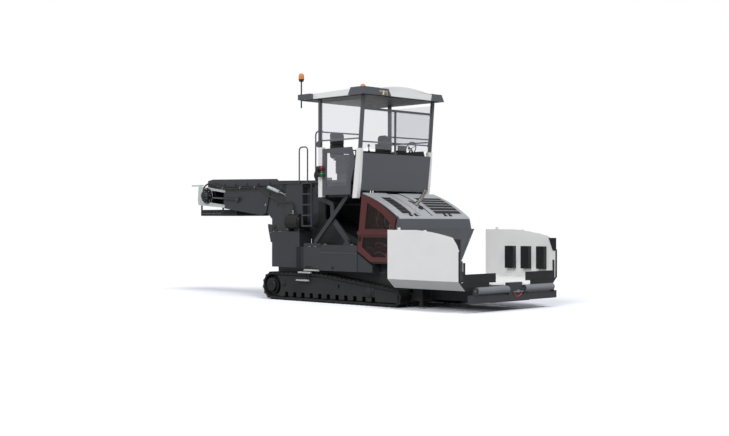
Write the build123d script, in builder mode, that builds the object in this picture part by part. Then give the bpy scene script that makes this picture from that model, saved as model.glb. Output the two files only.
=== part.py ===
from build123d import *
from math import asin, atan2, cos, degrees, radians, sin, sqrt, tan
import os

# A tracked mobile feeder. Millimetres, +X towards the hopper, +Y to the left,
# +Z up, origin on the ground under the middle of the machine.

os.makedirs("parts", exist_ok=True)

# Overall sizes
OVERALL_LENGTH = 10650
FRONT_X = OVERALL_LENGTH / 2
REAR_X = -OVERALL_LENGTH / 2
OVERRUN = 5
PIN_GAP = 0.3
SIDES = (-1, 1)

# Tracks, one per side
TRACK_OUTER_Y = 1275
SHOE_WIDTH = 320
SPROCKET_X = -1310
SPROCKET_TIP_RADIUS = 345
IDLER_X = 2850
IDLER_TIP_RADIUS = 215
CARRIER_X = 420
CARRIER_TIP_RADIUS = 150
TOP_RUN_Z = 690
LUG_HEIGHT = 22
LUG_WIDTH = 46
BAND_THICKNESS = 52
SHOE_COUNT = 64
SHOE_GAP = 14
SHOE_GAP_DEPTH = 16
TRACK_INNER_Y = TRACK_OUTER_Y - SHOE_WIDTH
TRACK_MIDDLE_Y = TRACK_OUTER_Y - SHOE_WIDTH / 2
BAND_DEPTH = LUG_HEIGHT + BAND_THICKNESS
TRACK_CIRCLES = (
    (SPROCKET_X, SPROCKET_TIP_RADIUS, SPROCKET_TIP_RADIUS),
    (CARRIER_X, TOP_RUN_Z - CARRIER_TIP_RADIUS, CARRIER_TIP_RADIUS),
    (IDLER_X, IDLER_TIP_RADIUS, IDLER_TIP_RADIUS),
)

# Track frames, with the wheels that carry each track
FRAME_RUN_GAP = 14
FRAME_WIDTH = 220
FRAME_WALL = 22
FRAME_SIDE_INSET = 45
FRAME_FRONT_X = 2914
FRAME_SKIRT_Z = 100
CORE_BOTTOM_Z = 245
WHEEL_GAP = 18
ROLLER_PITCH = 296
ROLLER_COUNT = 11
FIRST_NOTCH_X = -806
NOTCH_WIDTH = 120
NOTCH_TOP_Z = 205
NOTCH_ROUND = 26
ROLLER_RADIUS = 74
ROLLER_AXLE_RADIUS = 30
SPROCKET_THICKNESS = 60
SPROCKET_TEETH = 13
TOOTH_GAP_RADIUS = 26
HUB_RADIUS = 145
HUB_FACE_Y = 1300
HUB_FLANGE_RADIUS = 190
HUB_FLANGE_THICKNESS = 30
HUB_FLANGE_Y = 1185
HUB_CHAMFER = 14
BOSS_X = -913
BOSS_Z = 414
BOSS_RADIUS = 62
BOSS_HEIGHT = 30
FRAME_WINDOW_X = 1030
FRAME_WINDOW_Z = 400
FRAME_WINDOW_LENGTH = 110
FRAME_WINDOW_WIDTH = 60
FRAME_WINDOW_TURN = 75
FRAME_WINDOW_DEPTH = 30
FRAME_INNER_Y = TRACK_OUTER_Y - FRAME_SIDE_INSET - FRAME_WIDTH
FRAME_OUTER_Y = TRACK_OUTER_Y - FRAME_SIDE_INSET

# Chassis between the tracks
RAIL_OUTER_Y = 930
RAIL_INNER_Y = 705
RAIL_REAR_X = -1450
RAIL_FRONT_X = 3000
RAIL_BOTTOM_Z = 330
RAIL_TOP_Z = 740
REAR_BEAM_LENGTH = 160
CROSS_BEAM_LENGTH = 200
CROSS_BEAM_HEIGHT = 180
CROSS_BEAM_Z = 330
CROSS_BEAM_XS = (-400, 1900)
END_BOX_LENGTH = 240
END_BOX_BOTTOM_Z = 165
HOPPER_BEAM_INNER_Y = 615
HOPPER_BEAM_WIDTH = 60
HOPPER_BEAM_BOTTOM_Z = 190
HOPPER_BEAM_TOP_Z = 436
FRONT_TIE_LENGTH = 300
FRONT_TIE_HEIGHT = 56
ARM_BEAM_X = 3180
ARM_BEAM_LENGTH = 260
ARM_BEAM_OUTER_Y = 1000
LEG_X = 3400
LEG_LENGTH = 90
LEG_WIDTH = 60
LEG_BOTTOM_Z = 30
LEG_TOP_Z = 430

# Hopper between the wings
HOPPER_FRONT_X = 5110
HOPPER_LIP_LENGTH = 40
HOPPER_REAR_X = 3010
WING_HINGE_Y = 700
WING_HINGE_Z = 470
HOPPER_FLOOR_THICKNESS = 24
BULKHEAD_TOP_Z = 1750
BULKHEAD_BOTTOM_Z = 500
BULKHEAD_TOP_HALF_WIDTH = 1320
BULKHEAD_BOTTOM_HALF_WIDTH = 530
BULKHEAD_THICKNESS = 20
SEAL_BAR_WIDTH = 45
SEAL_BAR_THICKNESS = 14
TUNNEL_TOP_Z = 1000

# Conveyor that climbs from the hopper to the hinge of the boom
PIVOT_X = -2192
PIVOT_Z = 2350
BELT_HALF_WIDTH = 600
BELT_THICKNESS = 14
BELT_FRONT_X = 4940
BELT_TOP_Z = 490
BELT_RAMP_X = 2700
BELT_HEAD_X = -1910
BELT_HEAD_Z = 2505
DRUM_RADIUS = 100
DRUM_GAP = 22
TROUGH_HALF_WIDTH = 690
TROUGH_PLATE = 14
TROUGH_PAN_DROP = 270
DECK_FRONT_X = 20
DECK_REAR_X = -1560
DECK_TOP_Z = 2905
DECK_THICKNESS = 45
DECK_HALF_WIDTH = 880
TAIL_CORNER_X = -1975
TAIL_BOTTOM_Z = 1700
TAIL_STEP_Z = 1990

# Boxes over the tracks
REAR_BOX_REAR_X = -1502
REAR_BOX_FRONT_X = -482
REAR_BOX_OUTER_Y = 1100
REAR_BOX_TOP_Z = 1680
BOX_BOTTOM_Z = 800
REAR_BOX_RECESS = 30
MIDDLE_BOX_SPLIT_X = -192
MIDDLE_BOX_INSET = 50
MIDDLE_BOX_TOP_Z = 1310
SIDE_BOX_REAR_X = 414
SIDE_BOX_TOP_FRONT_X = 1641
SIDE_BOX_FRONT_X = 2120
SIDE_BOX_OUTER_Y = 1250
SIDE_BOX_TOP_Z = 1370
SIDE_BOX_CREASE_Z = 1190
SIDE_BOX_CREASE_DEPTH = 22
SIDE_BOX_BOTTOM_Z = 760
SIDE_BOX_NOSE_Z = 912
TOW_PLATE_THICKNESS = 40
TOW_PLATE_REACH = 170
TOW_PLATE_TOP_Z = 1850
TOW_PLATE_BOTTOM_Z = 1440
TOW_EYE_RADIUS = 32
CABINET_REAR_X = -1250
CABINET_FRONT_X = -640
CABINET_OUTER_Y = 850
TANK_RADIUS = 165
TANK_REAR_X = -620
TANK_LENGTH = 560
TANK_Y = 1000
TANK_DOME = 60

# Ladders, deck rails and steps
LADDER_REAR_X = -282
LADDER_WIDTH = 360
LADDER_Y = 1200
LADDER_BOTTOM_Z = 1800
LADDER_TOP_Z = 2850
LADDER_STILE = 34
LADDER_DEPTH = 30
RUNG_COUNT = 5
RUNG_PITCH = 257
RAIL_TUBE_RADIUS = 17
DECK_RAIL_X = -712
DECK_RAIL_WIDTH = 300
DECK_RAIL_TOP_Z = 3750
DECK_RAIL_BEND = 90
STEP_THICKNESS = 35
STEP_WIDTH = 60
# Each step: rear x, length, top z, outer y
STEPS = ((-273, 430, 720, 1345), (-92, 490, 780, 1320), (-342, 410, 530, 1345))
STEP_STRAP_XS = (-75, 35)
STEP_STRAP_WIDTH = 32
STEP_STRAP_THICKNESS = 12
STEP_STRAP_TOP_Z = 850

# Engine bay
BAY_OUTER_Y = 1220
BAY_WALL = 16
BAY_WALL_X = 1830
BAY_TUNNEL_Z = 1500
BAY_FLOOR_Z = 985
BAY_FLOOR_FRONT_X = 2640
HOOD_REAR_X = 1815
HOOD_REAR_Z = 2584
HOOD_MIDDLE_X = 2400
HOOD_MIDDLE_Z = 2350
HOOD_FRONT_X = 2945
HOOD_FRONT_Z = 2015
HOOD_FOLD_X = 2978
HOOD_FOLD_Z = 1905
HOOD_THICKNESS = 24
HOOD_RIB_DEPTH = 60
HOOD_RIB_WIDTH = 30
HOOD_STRIP_Y = (-450, -20)
HOOD_STRIP_DROP = 105
HOOD_LID_GAP = 6
HOOD_LID_FRONT_X = 2890
HOOD_SEAL_FRONT_X = 2600
HOOD_SEAL_GAP = 0.5
ENGINE_X = (1960, 2860)
ENGINE_HALF_WIDTH = 480
ENGINE_Z = (1260, 1800)
ENGINE_RAIL = 60
EXHAUST_RADIUS = 42
EXHAUST_Y = -150
EXHAUST_PATH = ((2180, 2392), (2470, 2318), (2745, 2575), (2800, 2665))
EXHAUST_BEND = 90
CAP_X = 2560
CAP_Y = -95
CAP_RADIUS = 55
CAP_HEIGHT = 40
LOUVRE_RIGHT_Y = (-950, -700)
LOUVRE_LEFT_Y = (140, 1080)
LOUVRE_X = (2190, 2800)
LOUVRE_CELLS = 6
LOUVRE_BAR = 22

# Side doors
DOOR_FACE_Y = 1252
DOOR_THICKNESS = 25
DOOR_FRAME = 130
DOOR_POINTS = ((1815, 2555), (1702, 1670), (1663, 1244), (2088, 1000), (2650, 1000), (2880, 1985))
DOOR_ARC_MIDDLE = (2400, 2305)
DOOR_BAND_Z = (1620, 1700)
DOOR_BAND_HEIGHT = 45
DOOR_WINDOW_UPPER = ((1905, 1750), (1990, 2345), (2440, 2110), (2740, 1850), (2740, 1750))
DOOR_WINDOW_LOWER = ((1850, 1560), (1820, 1330), (2150, 1115), (2560, 1115), (2700, 1560))
MESH_THICKNESS = 8
MESH_LAP = 20
DOOR_HINGE_X = 2892

# Wings of the hopper
WING_REAR_X = 3068
WING_FRAME_X = 5085
WING_FRONT_X = 5110
WING_OUTER_Y = 1720
WING_LOW_Y = 1500
WING_KINK_Z = 668
WING_TOP_Z = 1739
WING_THICKNESS = 30
WING_START_Y = 735
WING_CURVE_X = 3880
WING_CURVE_MIDDLE = (4540, 1660)
WING_CORNERS = ((4905, 1580), (5020, 1434), (5085, 1291))
HINGE_RADIUS = 24
HINGE_BORE_GAP = 0.1
HINGE_PIN_RADIUS = 12
HINGE_BARREL_LENGTH = 160
HINGE_BARREL_XS = (3300, 4100, 4900)
LIP_TOP_Z = 640
APRON_THICKNESS = 12
APRON_INNER_Y = 525
APRON_OUTER_Y = 1600
APRON_Z = (625, 820)
APRON_FLAP_WIDTH = 60
APRON_FLAP_Z = 1060
PAD_XS = ((3728, 3968), (4188, 4408), (4628, 4838))
PAD_Z = (840, 1350)
PAD_DEPTH = 110
PAD_FACE = 14
WING_LUG_XS = (3367, 4121)
WING_LUG_LENGTH = 60
WING_LUG_HEIGHT = 50

# Push beam with its two rollers
ROLLER_AXIS_Z = 470
PUSH_ROLLER_RADIUS = 80
PUSH_ROLLER_Y = (290, 1330)
PUSH_AXLE_RADIUS = 20
PUSH_AXLE_GAP = 0.08
PUSH_BRACKET = 25
PUSH_BRACKET_GAP = 5
PUSH_BEAM_X = (5150, 5250)
PUSH_BEAM_Z = (215, 380)
PUSH_BEAM_HALF_WIDTH = 1500
PUSH_BEAM_CHAMFER = 30
PUSH_PLATE_HALF_WIDTH = 235
PUSH_PLATE_TOP_Z = 610
PUSH_PIN_X = 5195
PUSH_PIN_RADIUS = 25
PUSH_TONGUE_HALF_WIDTH = 80
PUSH_TONGUE_Z = (265, 305)
PUSH_TONGUE_FRONT_X = 5235
PUSH_SLOT_GAP = 6
ROLLER_AXIS_X = FRONT_X - PUSH_ROLLER_RADIUS


# Operator's platform, drawn raised
FLOOR_X = (60, 1681)
FLOOR_TOP_Z = 2900
FLOOR_THICKNESS = 60
FLOOR_HALF_WIDTH = 1150
FLOOR_BEAM_X = (350, 1640)
FLOOR_BEAM_Y = (800, 930)
FLOOR_BEAM_BOTTOM_Z = 2500
CROSS_MEMBER_BOTTOM_Z = 2700
CROSS_MEMBER_LENGTH = 80
PANEL_FACE_Y = 1250
PANEL_THICKNESS = 30
PANEL_POINTS = ((488, 2550), (488, 3640), (1470, 3650), (1588, 3290), (1440, 2835), (1425, 2550))
PANEL_WINDOW = ((625, 2750), (632, 3540), (1395, 3480), (1410, 3200), (1280, 2750))
CORNER_POST_DEPTH = 100
REAR_POST_X = (348, 488)
REAR_POST_Z = (2500, 3680)
FRONT_POST_POINTS = ((1498, 2465), (1638, 2465), (1700, 2840), (1760, 3610), (1640, 3610))
FRONT_PANEL_POINTS = ((1690, 2640), (1712, 2840), (1790, 3500))
FRONT_PANEL_THICKNESS = 30
FRONT_PANEL_HALF_WIDTH = 1204
FRONT_PANEL_LAP = 20
POST_SIZE = 70
POST_Y = 1200
UPPER_REAR_X = 368
UPPER_FRONT_XS = (1708, 1810)
UPPER_FOOT_Z = 3610
ROOF_UNDERSIDE_Z = 4830
KNUCKLE_RADIUS = 75
KNUCKLE_Z = 3760
HEADER_Z = 4530
HEADER_SIZE = 50
MULLION_Y = -100
MULLION_WIDTH = 45
GLASS_THICKNESS = 6
GLASS_LAP = 10
SIDE_GLASS_Z = (3810, 4740)
FRONT_GLASS_Z = (3612, 4505)
RAIL_TOP_REAR_Z = 4055
RAIL_TOP_FRONT_Z = 3920
RAIL_MIDDLE_Z = 3850
RAIL_RETURN_BEND = 30
REAR_RAIL_X = 90
REAR_RAIL_Y = 1090
REAR_RAIL_TOP_Z = 4080
FRONT_RAIL_Z = 3770

# Roof and what it carries
ROOF_X = (-202, 1958)
ROOF_HALF_WIDTH = 1300
ROOF_CROWN_Z = 5085
ROOF_EDGE_Z = 4895
ROOF_SKIN = 30
ROOF_FRAME_HEIGHT = 40
ROOF_FRAME_WIDTH = 90
ROOF_BEAM_COUNT = 3
POD_FRONT_X = 2008
POD_OUTER_Y = 1405
POD_BOTTOM_Z = 4835
POD_TOP_Z = 5010
POD_RIGHT_LENGTH = 500
POD_RIGHT_INNER_Y = 480
POD_LEFT_LENGTH = 380
POD_LEFT_INNER_Y = 960
POD_REAR_LENGTH = 430
POD_REAR_INNER_Y = 1180
POD_REAR_TOP_Z = 4965
POD_DEPTH = 330
POD_CHAMFER = 45
POD_RECESS_Y = (-840, -560)
POD_RECESS_DEPTH = 60
POD_RECESS_Z = (4850, 4960)
MAST_X = -247
MAST_Y = -1250
MAST_RADIUS = 17
MAST_Z = (4660, 5300)
MAST_BRACKET_Z = (4845, 4885)
BEACON_RADIUS = 82
BEACON_HEIGHT = 200
BEACON_BASE_HEIGHT = 40
ROOF_BEACON_X = 608

# Seats and consoles
SEAT_X = 600
SEAT_Y = 820
SEAT_WIDTH = 480
SEAT_LENGTH = 500
SEAT_CUSHION_Z = (3400, 3500)
SEAT_BACK_TOP_Z = 4080
SEAT_BACK_THICKNESS = 110
PEDESTAL_SIZE = 300
CONSOLE_X = (1420, 1600)
CONSOLE_Y = (120, 1080)
CONSOLE_Z = (3340, 3560)
CONSOLE_LEG_WIDTH = 120
LAMP_RADIUS = 55
LAMP_LENGTH = 170
LAMP_X = 495
LAMP_Y = -1330
LAMP_ZS = (3180, 3030)

# Scissor lift under the platform
ARM_LENGTH = 1500
ARM_PIN_Z = 1450
ARM_FRONT_X = 1150
ARM_RISE = 1060
ARM_A_Y = (1000, 1040)
ARM_B_Y = (1055, 1095)
ARM_WIDTH = 105
ARM_A_FOOT_WIDTH = 140
ARM_PIN_RADIUS = 24
ARM_CROSS_RADIUS = 40
ARM_NECK_RISE = 170
ARM_EYE_RADIUS = 55
ARM_BRACKET_HALF_LENGTH = 80
SLIDE_RAIL_X = (-330, 260)

# Discharge boom, hinged at the top of the base conveyor
BOOM_PLATE_Y = 704
BOOM_PLATE = 12
BOOM_REAR_X = -3902
BOOM_FRONT_POINTS = ((-1762, 3006), (-1662, 2940), (-1700, 2860), (-1987, 2830), (-2182, 2140), (-2362, 2084))
BOOM_REAR_POINTS = ((-3922, 2278), (-3902, 2760), (-4600, 2850), (-4592, 3020), (-4372, 3056))
BOOM_PAN_THICKNESS = 12
BOOM_PAN_RISE = 60
BOOM_PAN_FRONT_X = -2345
FLANGE_Z = 2845
FLANGE_WIDTH = 50
FLANGE_X = (-4560, -1800)
GUSSET_COUNT = 6
GUSSET_HEIGHT = 90
GUSSET_THICKNESS = 10
HEAD_DRUM_X = -4592
HEAD_DRUM_Z = 2616
HEAD_DRUM_RADIUS = 185
HEAD_DRUM_HALF_WIDTH = 620
HEAD_SHAFT_RADIUS = 45
MOTOR_RADIUS = 150
MOTOR_FLANGE_RADIUS = 205
MOTOR_FLANGE_THICKNESS = 30
MOTOR_FACE_Y = 840
BRACKET_THICKNESS = 16
BRACKET_LAP = 70
BRACKET_UPPER = ((-3902, 2700), (-4560, 2775))
BRACKET_LOWER = ((-4560, 2450), (-3925, 2372))
BRACKET_OUTER = ((-3925, 2292), (-4990, 2375), (-5025, 2510), (-4990, 2880), (-3902, 2770))
NOSE_LENGTH = 460
NOSE_HEIGHT = 34
NOSE_Z = 2905
NOSE_WIDTH = 60
TRAY_X = (-5060, -3560)
TRAY_Z = (2080, 2150)
TRAY_HALF_WIDTH = 560
HANGER_XS = (-4900, -3990)
HANGER_LENGTH = 60
CYLINDER_BOOM_PIN = (-2020, 2800)
CYLINDER_BASE_PIN = (-1330, 2590)
CYLINDER_Y = 775
BARREL_RADIUS = 42
BARREL_LENGTH = 430
ROD_RADIUS = 22
ROD_INSERT = 220
CYLINDER_PIN_RADIUS = 18
CYLINDER_EYE_RADIUS = 36
CYLINDER_EYE_WIDTH = 40
ROD_CLEARANCE = 80
ROD_EYE_GAP = 8
PIVOT_PIN_RADIUS = 30
POD_TAPER = 14


def side_plane(y):
    """Upright plane that faces the left side; local x is along the machine, local y is up."""
    return Plane(origin=(0, y, 0), x_dir=(1, 0, 0), z_dir=(0, -1, 0))


def write(builder, name):
    """Label a finished piece and write its file."""
    builder.part.label = name
    export_step(builder.part, f"parts/{name}.step")


def round_hull(inset):
    """Sketch of the belt of circles that the track runs round, drawn inwards by an inset."""
    with BuildSketch() as hull:
        for x, z, radius in TRACK_CIRCLES:
            with Locations((x, z)):
                Circle(radius - inset)
        make_hull()
    return hull.sketch


def track_side(side):
    """One track: a closed band with a lug in the middle of each shoe and a gap between shoes."""
    band_line = round_hull(LUG_HEIGHT).face().outer_wire()
    lug_places = []
    gap_places = []
    for number in range(SHOE_COUNT):
        for places, share in ((lug_places, number), (gap_places, number + 1 / 2)):
            spot = band_line @ (share / SHOE_COUNT)
            run = band_line % (share / SHOE_COUNT)
            places.append(Location((spot.X, spot.Y), degrees(atan2(run.Y, run.X))))
    with BuildPart() as track:
        with BuildSketch(side_plane(side * TRACK_OUTER_Y)):
            add(round_hull(LUG_HEIGHT))
            with Locations(*lug_places):
                Rectangle(LUG_WIDTH, 2 * LUG_HEIGHT)
            with Locations(*gap_places):
                Rectangle(SHOE_GAP, 2 * SHOE_GAP_DEPTH, mode=Mode.SUBTRACT)
            add(round_hull(BAND_DEPTH), mode=Mode.SUBTRACT)
        extrude(amount=side * SHOE_WIDTH)
    return track


def block(x_span, y_span, z_span, mode=Mode.ADD):
    """Add a block to the open part, from its spans along the three axes."""
    middle = [(span[0] + span[1]) / 2 for span in (x_span, y_span, z_span)]
    lengths = [abs(span[1] - span[0]) for span in (x_span, y_span, z_span)]
    with Locations(tuple(middle)):
        Box(*lengths, mode=mode)


def spread(side, inner, outer):
    """Span along Y of something that lies between two distances from the middle plane."""
    return (side * inner, side * outer)


def track_frame_side(side):
    """A track's frame: a core between two plates, whose skirts guard the rollers."""
    inset = BAND_DEPTH + FRAME_RUN_GAP
    skirt_room = TOP_RUN_Z
    wheel_room = SPROCKET_TIP_RADIUS - BAND_DEPTH + WHEEL_GAP
    notch_xs = [FIRST_NOTCH_X + number * ROLLER_PITCH for number in range(ROLLER_COUNT)]
    with BuildPart() as frame:
        with BuildSketch(side_plane(side * (FRAME_OUTER_Y - FRAME_WALL))):
            add(round_hull(inset))
            with Locations((SPROCKET_X, SPROCKET_TIP_RADIUS)):
                Circle(wheel_room, mode=Mode.SUBTRACT)
            with Locations((IDLER_X, IDLER_TIP_RADIUS)):
                Circle(IDLER_TIP_RADIUS - BAND_DEPTH + WHEEL_GAP, mode=Mode.SUBTRACT)
            with Locations((CARRIER_X, TOP_RUN_Z - CARRIER_TIP_RADIUS)):
                Circle(CARRIER_TIP_RADIUS - BAND_DEPTH + WHEEL_GAP, mode=Mode.SUBTRACT)
            with Locations((0, CORE_BOTTOM_Z - skirt_room / 2)):
                Rectangle(OVERALL_LENGTH, skirt_room, mode=Mode.SUBTRACT)
            with Locations((SPROCKET_X - wheel_room / 2, SPROCKET_TIP_RADIUS)):
                Rectangle(wheel_room, 2 * wheel_room, mode=Mode.SUBTRACT)
            with Locations((IDLER_X + OVERALL_LENGTH / 2, IDLER_TIP_RADIUS)):
                Rectangle(OVERALL_LENGTH, 2 * skirt_room, mode=Mode.SUBTRACT)
        extrude(amount=side * (FRAME_WIDTH - 2 * FRAME_WALL))
        for plate_y, is_outer in ((FRAME_OUTER_Y, True), (FRAME_INNER_Y + FRAME_WALL, False)):
            with BuildSketch(side_plane(side * plate_y)):
                add(round_hull(inset))
                with Locations((0, FRAME_SKIRT_Z - skirt_room / 2)):
                    Rectangle(OVERALL_LENGTH, skirt_room, mode=Mode.SUBTRACT)
                with Locations((FRAME_FRONT_X + OVERALL_LENGTH / 2, 0)):
                    Rectangle(OVERALL_LENGTH, 2 * skirt_room, mode=Mode.SUBTRACT)
                with Locations(*[(x, FRAME_SKIRT_Z) for x in notch_xs]):
                    RectangleRounded(NOTCH_WIDTH, 2 * (NOTCH_TOP_Z - FRAME_SKIRT_Z), NOTCH_ROUND,
                                     mode=Mode.SUBTRACT)
                if is_outer:
                    with Locations((SPROCKET_X, SPROCKET_TIP_RADIUS)):
                        Circle(wheel_room, mode=Mode.SUBTRACT)
                    with Locations((SPROCKET_X - wheel_room / 2, SPROCKET_TIP_RADIUS)):
                        Rectangle(wheel_room, 2 * wheel_room, mode=Mode.SUBTRACT)
            extrude(amount=side * FRAME_WALL)
        with BuildSketch(side_plane(side * (FRAME_OUTER_Y + BOSS_HEIGHT))):
            with Locations((BOSS_X, BOSS_Z)):
                Circle(BOSS_RADIUS)
        extrude(amount=side * BOSS_HEIGHT)
        with BuildSketch(side_plane(side * (FRAME_OUTER_Y + OVERRUN))):
            with Locations((FRAME_WINDOW_X, FRAME_WINDOW_Z)):
                SlotOverall(FRAME_WINDOW_LENGTH, FRAME_WINDOW_WIDTH, rotation=FRAME_WINDOW_TURN)
        extrude(amount=side * (OVERRUN + FRAME_WINDOW_DEPTH), mode=Mode.SUBTRACT)
    return frame


def track_wheels_side(side):
    """The wheels of one track: drive sprocket with its hub, idler, rollers and return roller."""
    channel = FRAME_WIDTH - 2 * FRAME_WALL
    channel_y = side * (FRAME_OUTER_Y - FRAME_WALL)
    tread_y = side * (FRAME_OUTER_Y - FRAME_WALL - WHEEL_GAP)
    tread_width = channel - 2 * WHEEL_GAP
    reach = BAND_DEPTH + PIN_GAP
    rollers = [
        (FIRST_NOTCH_X + (number - 1 / 2) * ROLLER_PITCH, reach + ROLLER_RADIUS, ROLLER_RADIUS)
        for number in range(ROLLER_COUNT + 1)
    ]
    carrier_z = TOP_RUN_Z - CARRIER_TIP_RADIUS
    rollers.append((CARRIER_X, carrier_z, CARRIER_TIP_RADIUS - reach))
    rollers.append((IDLER_X, IDLER_TIP_RADIUS, IDLER_TIP_RADIUS - reach))
    sprocket_radius = SPROCKET_TIP_RADIUS - reach
    with BuildPart() as wheels:
        with BuildSketch(side_plane(channel_y)):
            for x, z, radius in rollers:
                with Locations((x, z)):
                    Circle(ROLLER_AXLE_RADIUS)
        extrude(amount=side * channel)
        with BuildSketch(side_plane(tread_y)):
            for x, z, radius in rollers:
                with Locations((x, z)):
                    Circle(radius)
        extrude(amount=side * tread_width)
        with BuildSketch(side_plane(side * (TRACK_MIDDLE_Y + SPROCKET_THICKNESS / 2))):
            with Locations((SPROCKET_X, SPROCKET_TIP_RADIUS)):
                Circle(sprocket_radius)
                with PolarLocations(sprocket_radius, SPROCKET_TEETH):
                    Circle(TOOTH_GAP_RADIUS, mode=Mode.SUBTRACT)
        extrude(amount=side * SPROCKET_THICKNESS)
        with BuildSketch(side_plane(side * HUB_FACE_Y)):
            with Locations((SPROCKET_X, SPROCKET_TIP_RADIUS)):
                Circle(HUB_RADIUS)
        extrude(amount=side * (HUB_FACE_Y - FRAME_INNER_Y - FRAME_WALL))
        hub_face = wheels.faces().sort_by(Axis.Y)[0 if side < 0 else -1]
        chamfer(hub_face.edges(), HUB_CHAMFER)
        with BuildSketch(side_plane(side * (HUB_FLANGE_Y + HUB_FLANGE_THICKNESS))):
            with Locations((SPROCKET_X, SPROCKET_TIP_RADIUS)):
                Circle(HUB_FLANGE_RADIUS)
        extrude(amount=side * HUB_FLANGE_THICKNESS)
    return wheels


hands = {-1: "right", 1: "left"}
for side, hand in hands.items():
    track = track_side(side)
    write(track, f"track_{hand}")
    track_frame = track_frame_side(side)
    write(track_frame, f"track_frame_{hand}")
    track_wheels = track_wheels_side(side)
    write(track_wheels, f"track_wheels_{hand}")

# The chassis: two long rails with cross beams, and the lower frame under the hopper
with BuildPart() as chassis_frame:
    for side in SIDES:
        block((RAIL_REAR_X, RAIL_FRONT_X), spread(side, RAIL_INNER_Y, RAIL_OUTER_Y),
              (RAIL_BOTTOM_Z, RAIL_TOP_Z))
        for beam_x in CROSS_BEAM_XS:
            block((beam_x, beam_x + CROSS_BEAM_LENGTH), spread(side, RAIL_INNER_Y, FRAME_INNER_Y),
                  (CROSS_BEAM_Z - CROSS_BEAM_HEIGHT / 2, CROSS_BEAM_Z + CROSS_BEAM_HEIGHT / 2))
        block((RAIL_FRONT_X - END_BOX_LENGTH, ARM_BEAM_X), spread(side, RAIL_INNER_Y, RAIL_OUTER_Y),
              (END_BOX_BOTTOM_Z, RAIL_BOTTOM_Z))
        block((ARM_BEAM_X, ARM_BEAM_X + ARM_BEAM_LENGTH), spread(side, HOPPER_BEAM_INNER_Y, ARM_BEAM_OUTER_Y),
              (END_BOX_BOTTOM_Z, HOPPER_BEAM_TOP_Z))
        block((LEG_X - LEG_LENGTH / 2, LEG_X + LEG_LENGTH / 2),
              spread(side, ARM_BEAM_OUTER_Y - LEG_WIDTH, ARM_BEAM_OUTER_Y), (LEG_BOTTOM_Z, LEG_TOP_Z))
        block((RAIL_FRONT_X - END_BOX_LENGTH, HOPPER_FRONT_X - HOPPER_LIP_LENGTH),
              spread(side, HOPPER_BEAM_INNER_Y, HOPPER_BEAM_INNER_Y + HOPPER_BEAM_WIDTH),
              (HOPPER_BEAM_BOTTOM_Z, HOPPER_BEAM_TOP_Z))
    inner = HOPPER_BEAM_INNER_Y + HOPPER_BEAM_WIDTH / 2
    block((RAIL_REAR_X, RAIL_REAR_X + REAR_BEAM_LENGTH), (-RAIL_OUTER_Y, RAIL_OUTER_Y),
          (RAIL_BOTTOM_Z, RAIL_TOP_Z))
    block((ARM_BEAM_X, ARM_BEAM_X + FRONT_TIE_LENGTH), (-inner, inner),
          (HOPPER_BEAM_BOTTOM_Z, HOPPER_BEAM_BOTTOM_Z + FRONT_TIE_HEIGHT))
    tail_z = BELT_TOP_Z - DRUM_RADIUS
    with Locations(Location((BELT_FRONT_X, 0, tail_z), (90, 0, 0))):
        Cylinder(DRUM_RADIUS - BELT_THICKNESS - PIN_GAP, 2 * BELT_HALF_WIDTH)
        Cylinder(HEAD_SHAFT_RADIUS, 2 * HOPPER_BEAM_INNER_Y)
write(chassis_frame, "chassis_frame")


def plate_outline(points, y_from, y_to, mode=Mode.ADD):
    """Add a flat piece to the open part, from its side outline and its two distances along Y."""
    with BuildSketch(side_plane(y_from)) as outline:
        with BuildLine():
            Polyline(*points, close=True)
        make_face()
    extrude(outline.sketch, amount=y_from - y_to, mode=mode)


# The belt's line from the hopper up to the head drum
ramp_turn = degrees(atan2(BELT_HEAD_Z + DRUM_RADIUS - BELT_TOP_Z, BELT_RAMP_X - BELT_HEAD_X))


def belt_z(x):
    """Height of the belt's top at a place along the ramp."""
    return BELT_TOP_Z + (BELT_RAMP_X - x) * tan(radians(ramp_turn))


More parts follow.
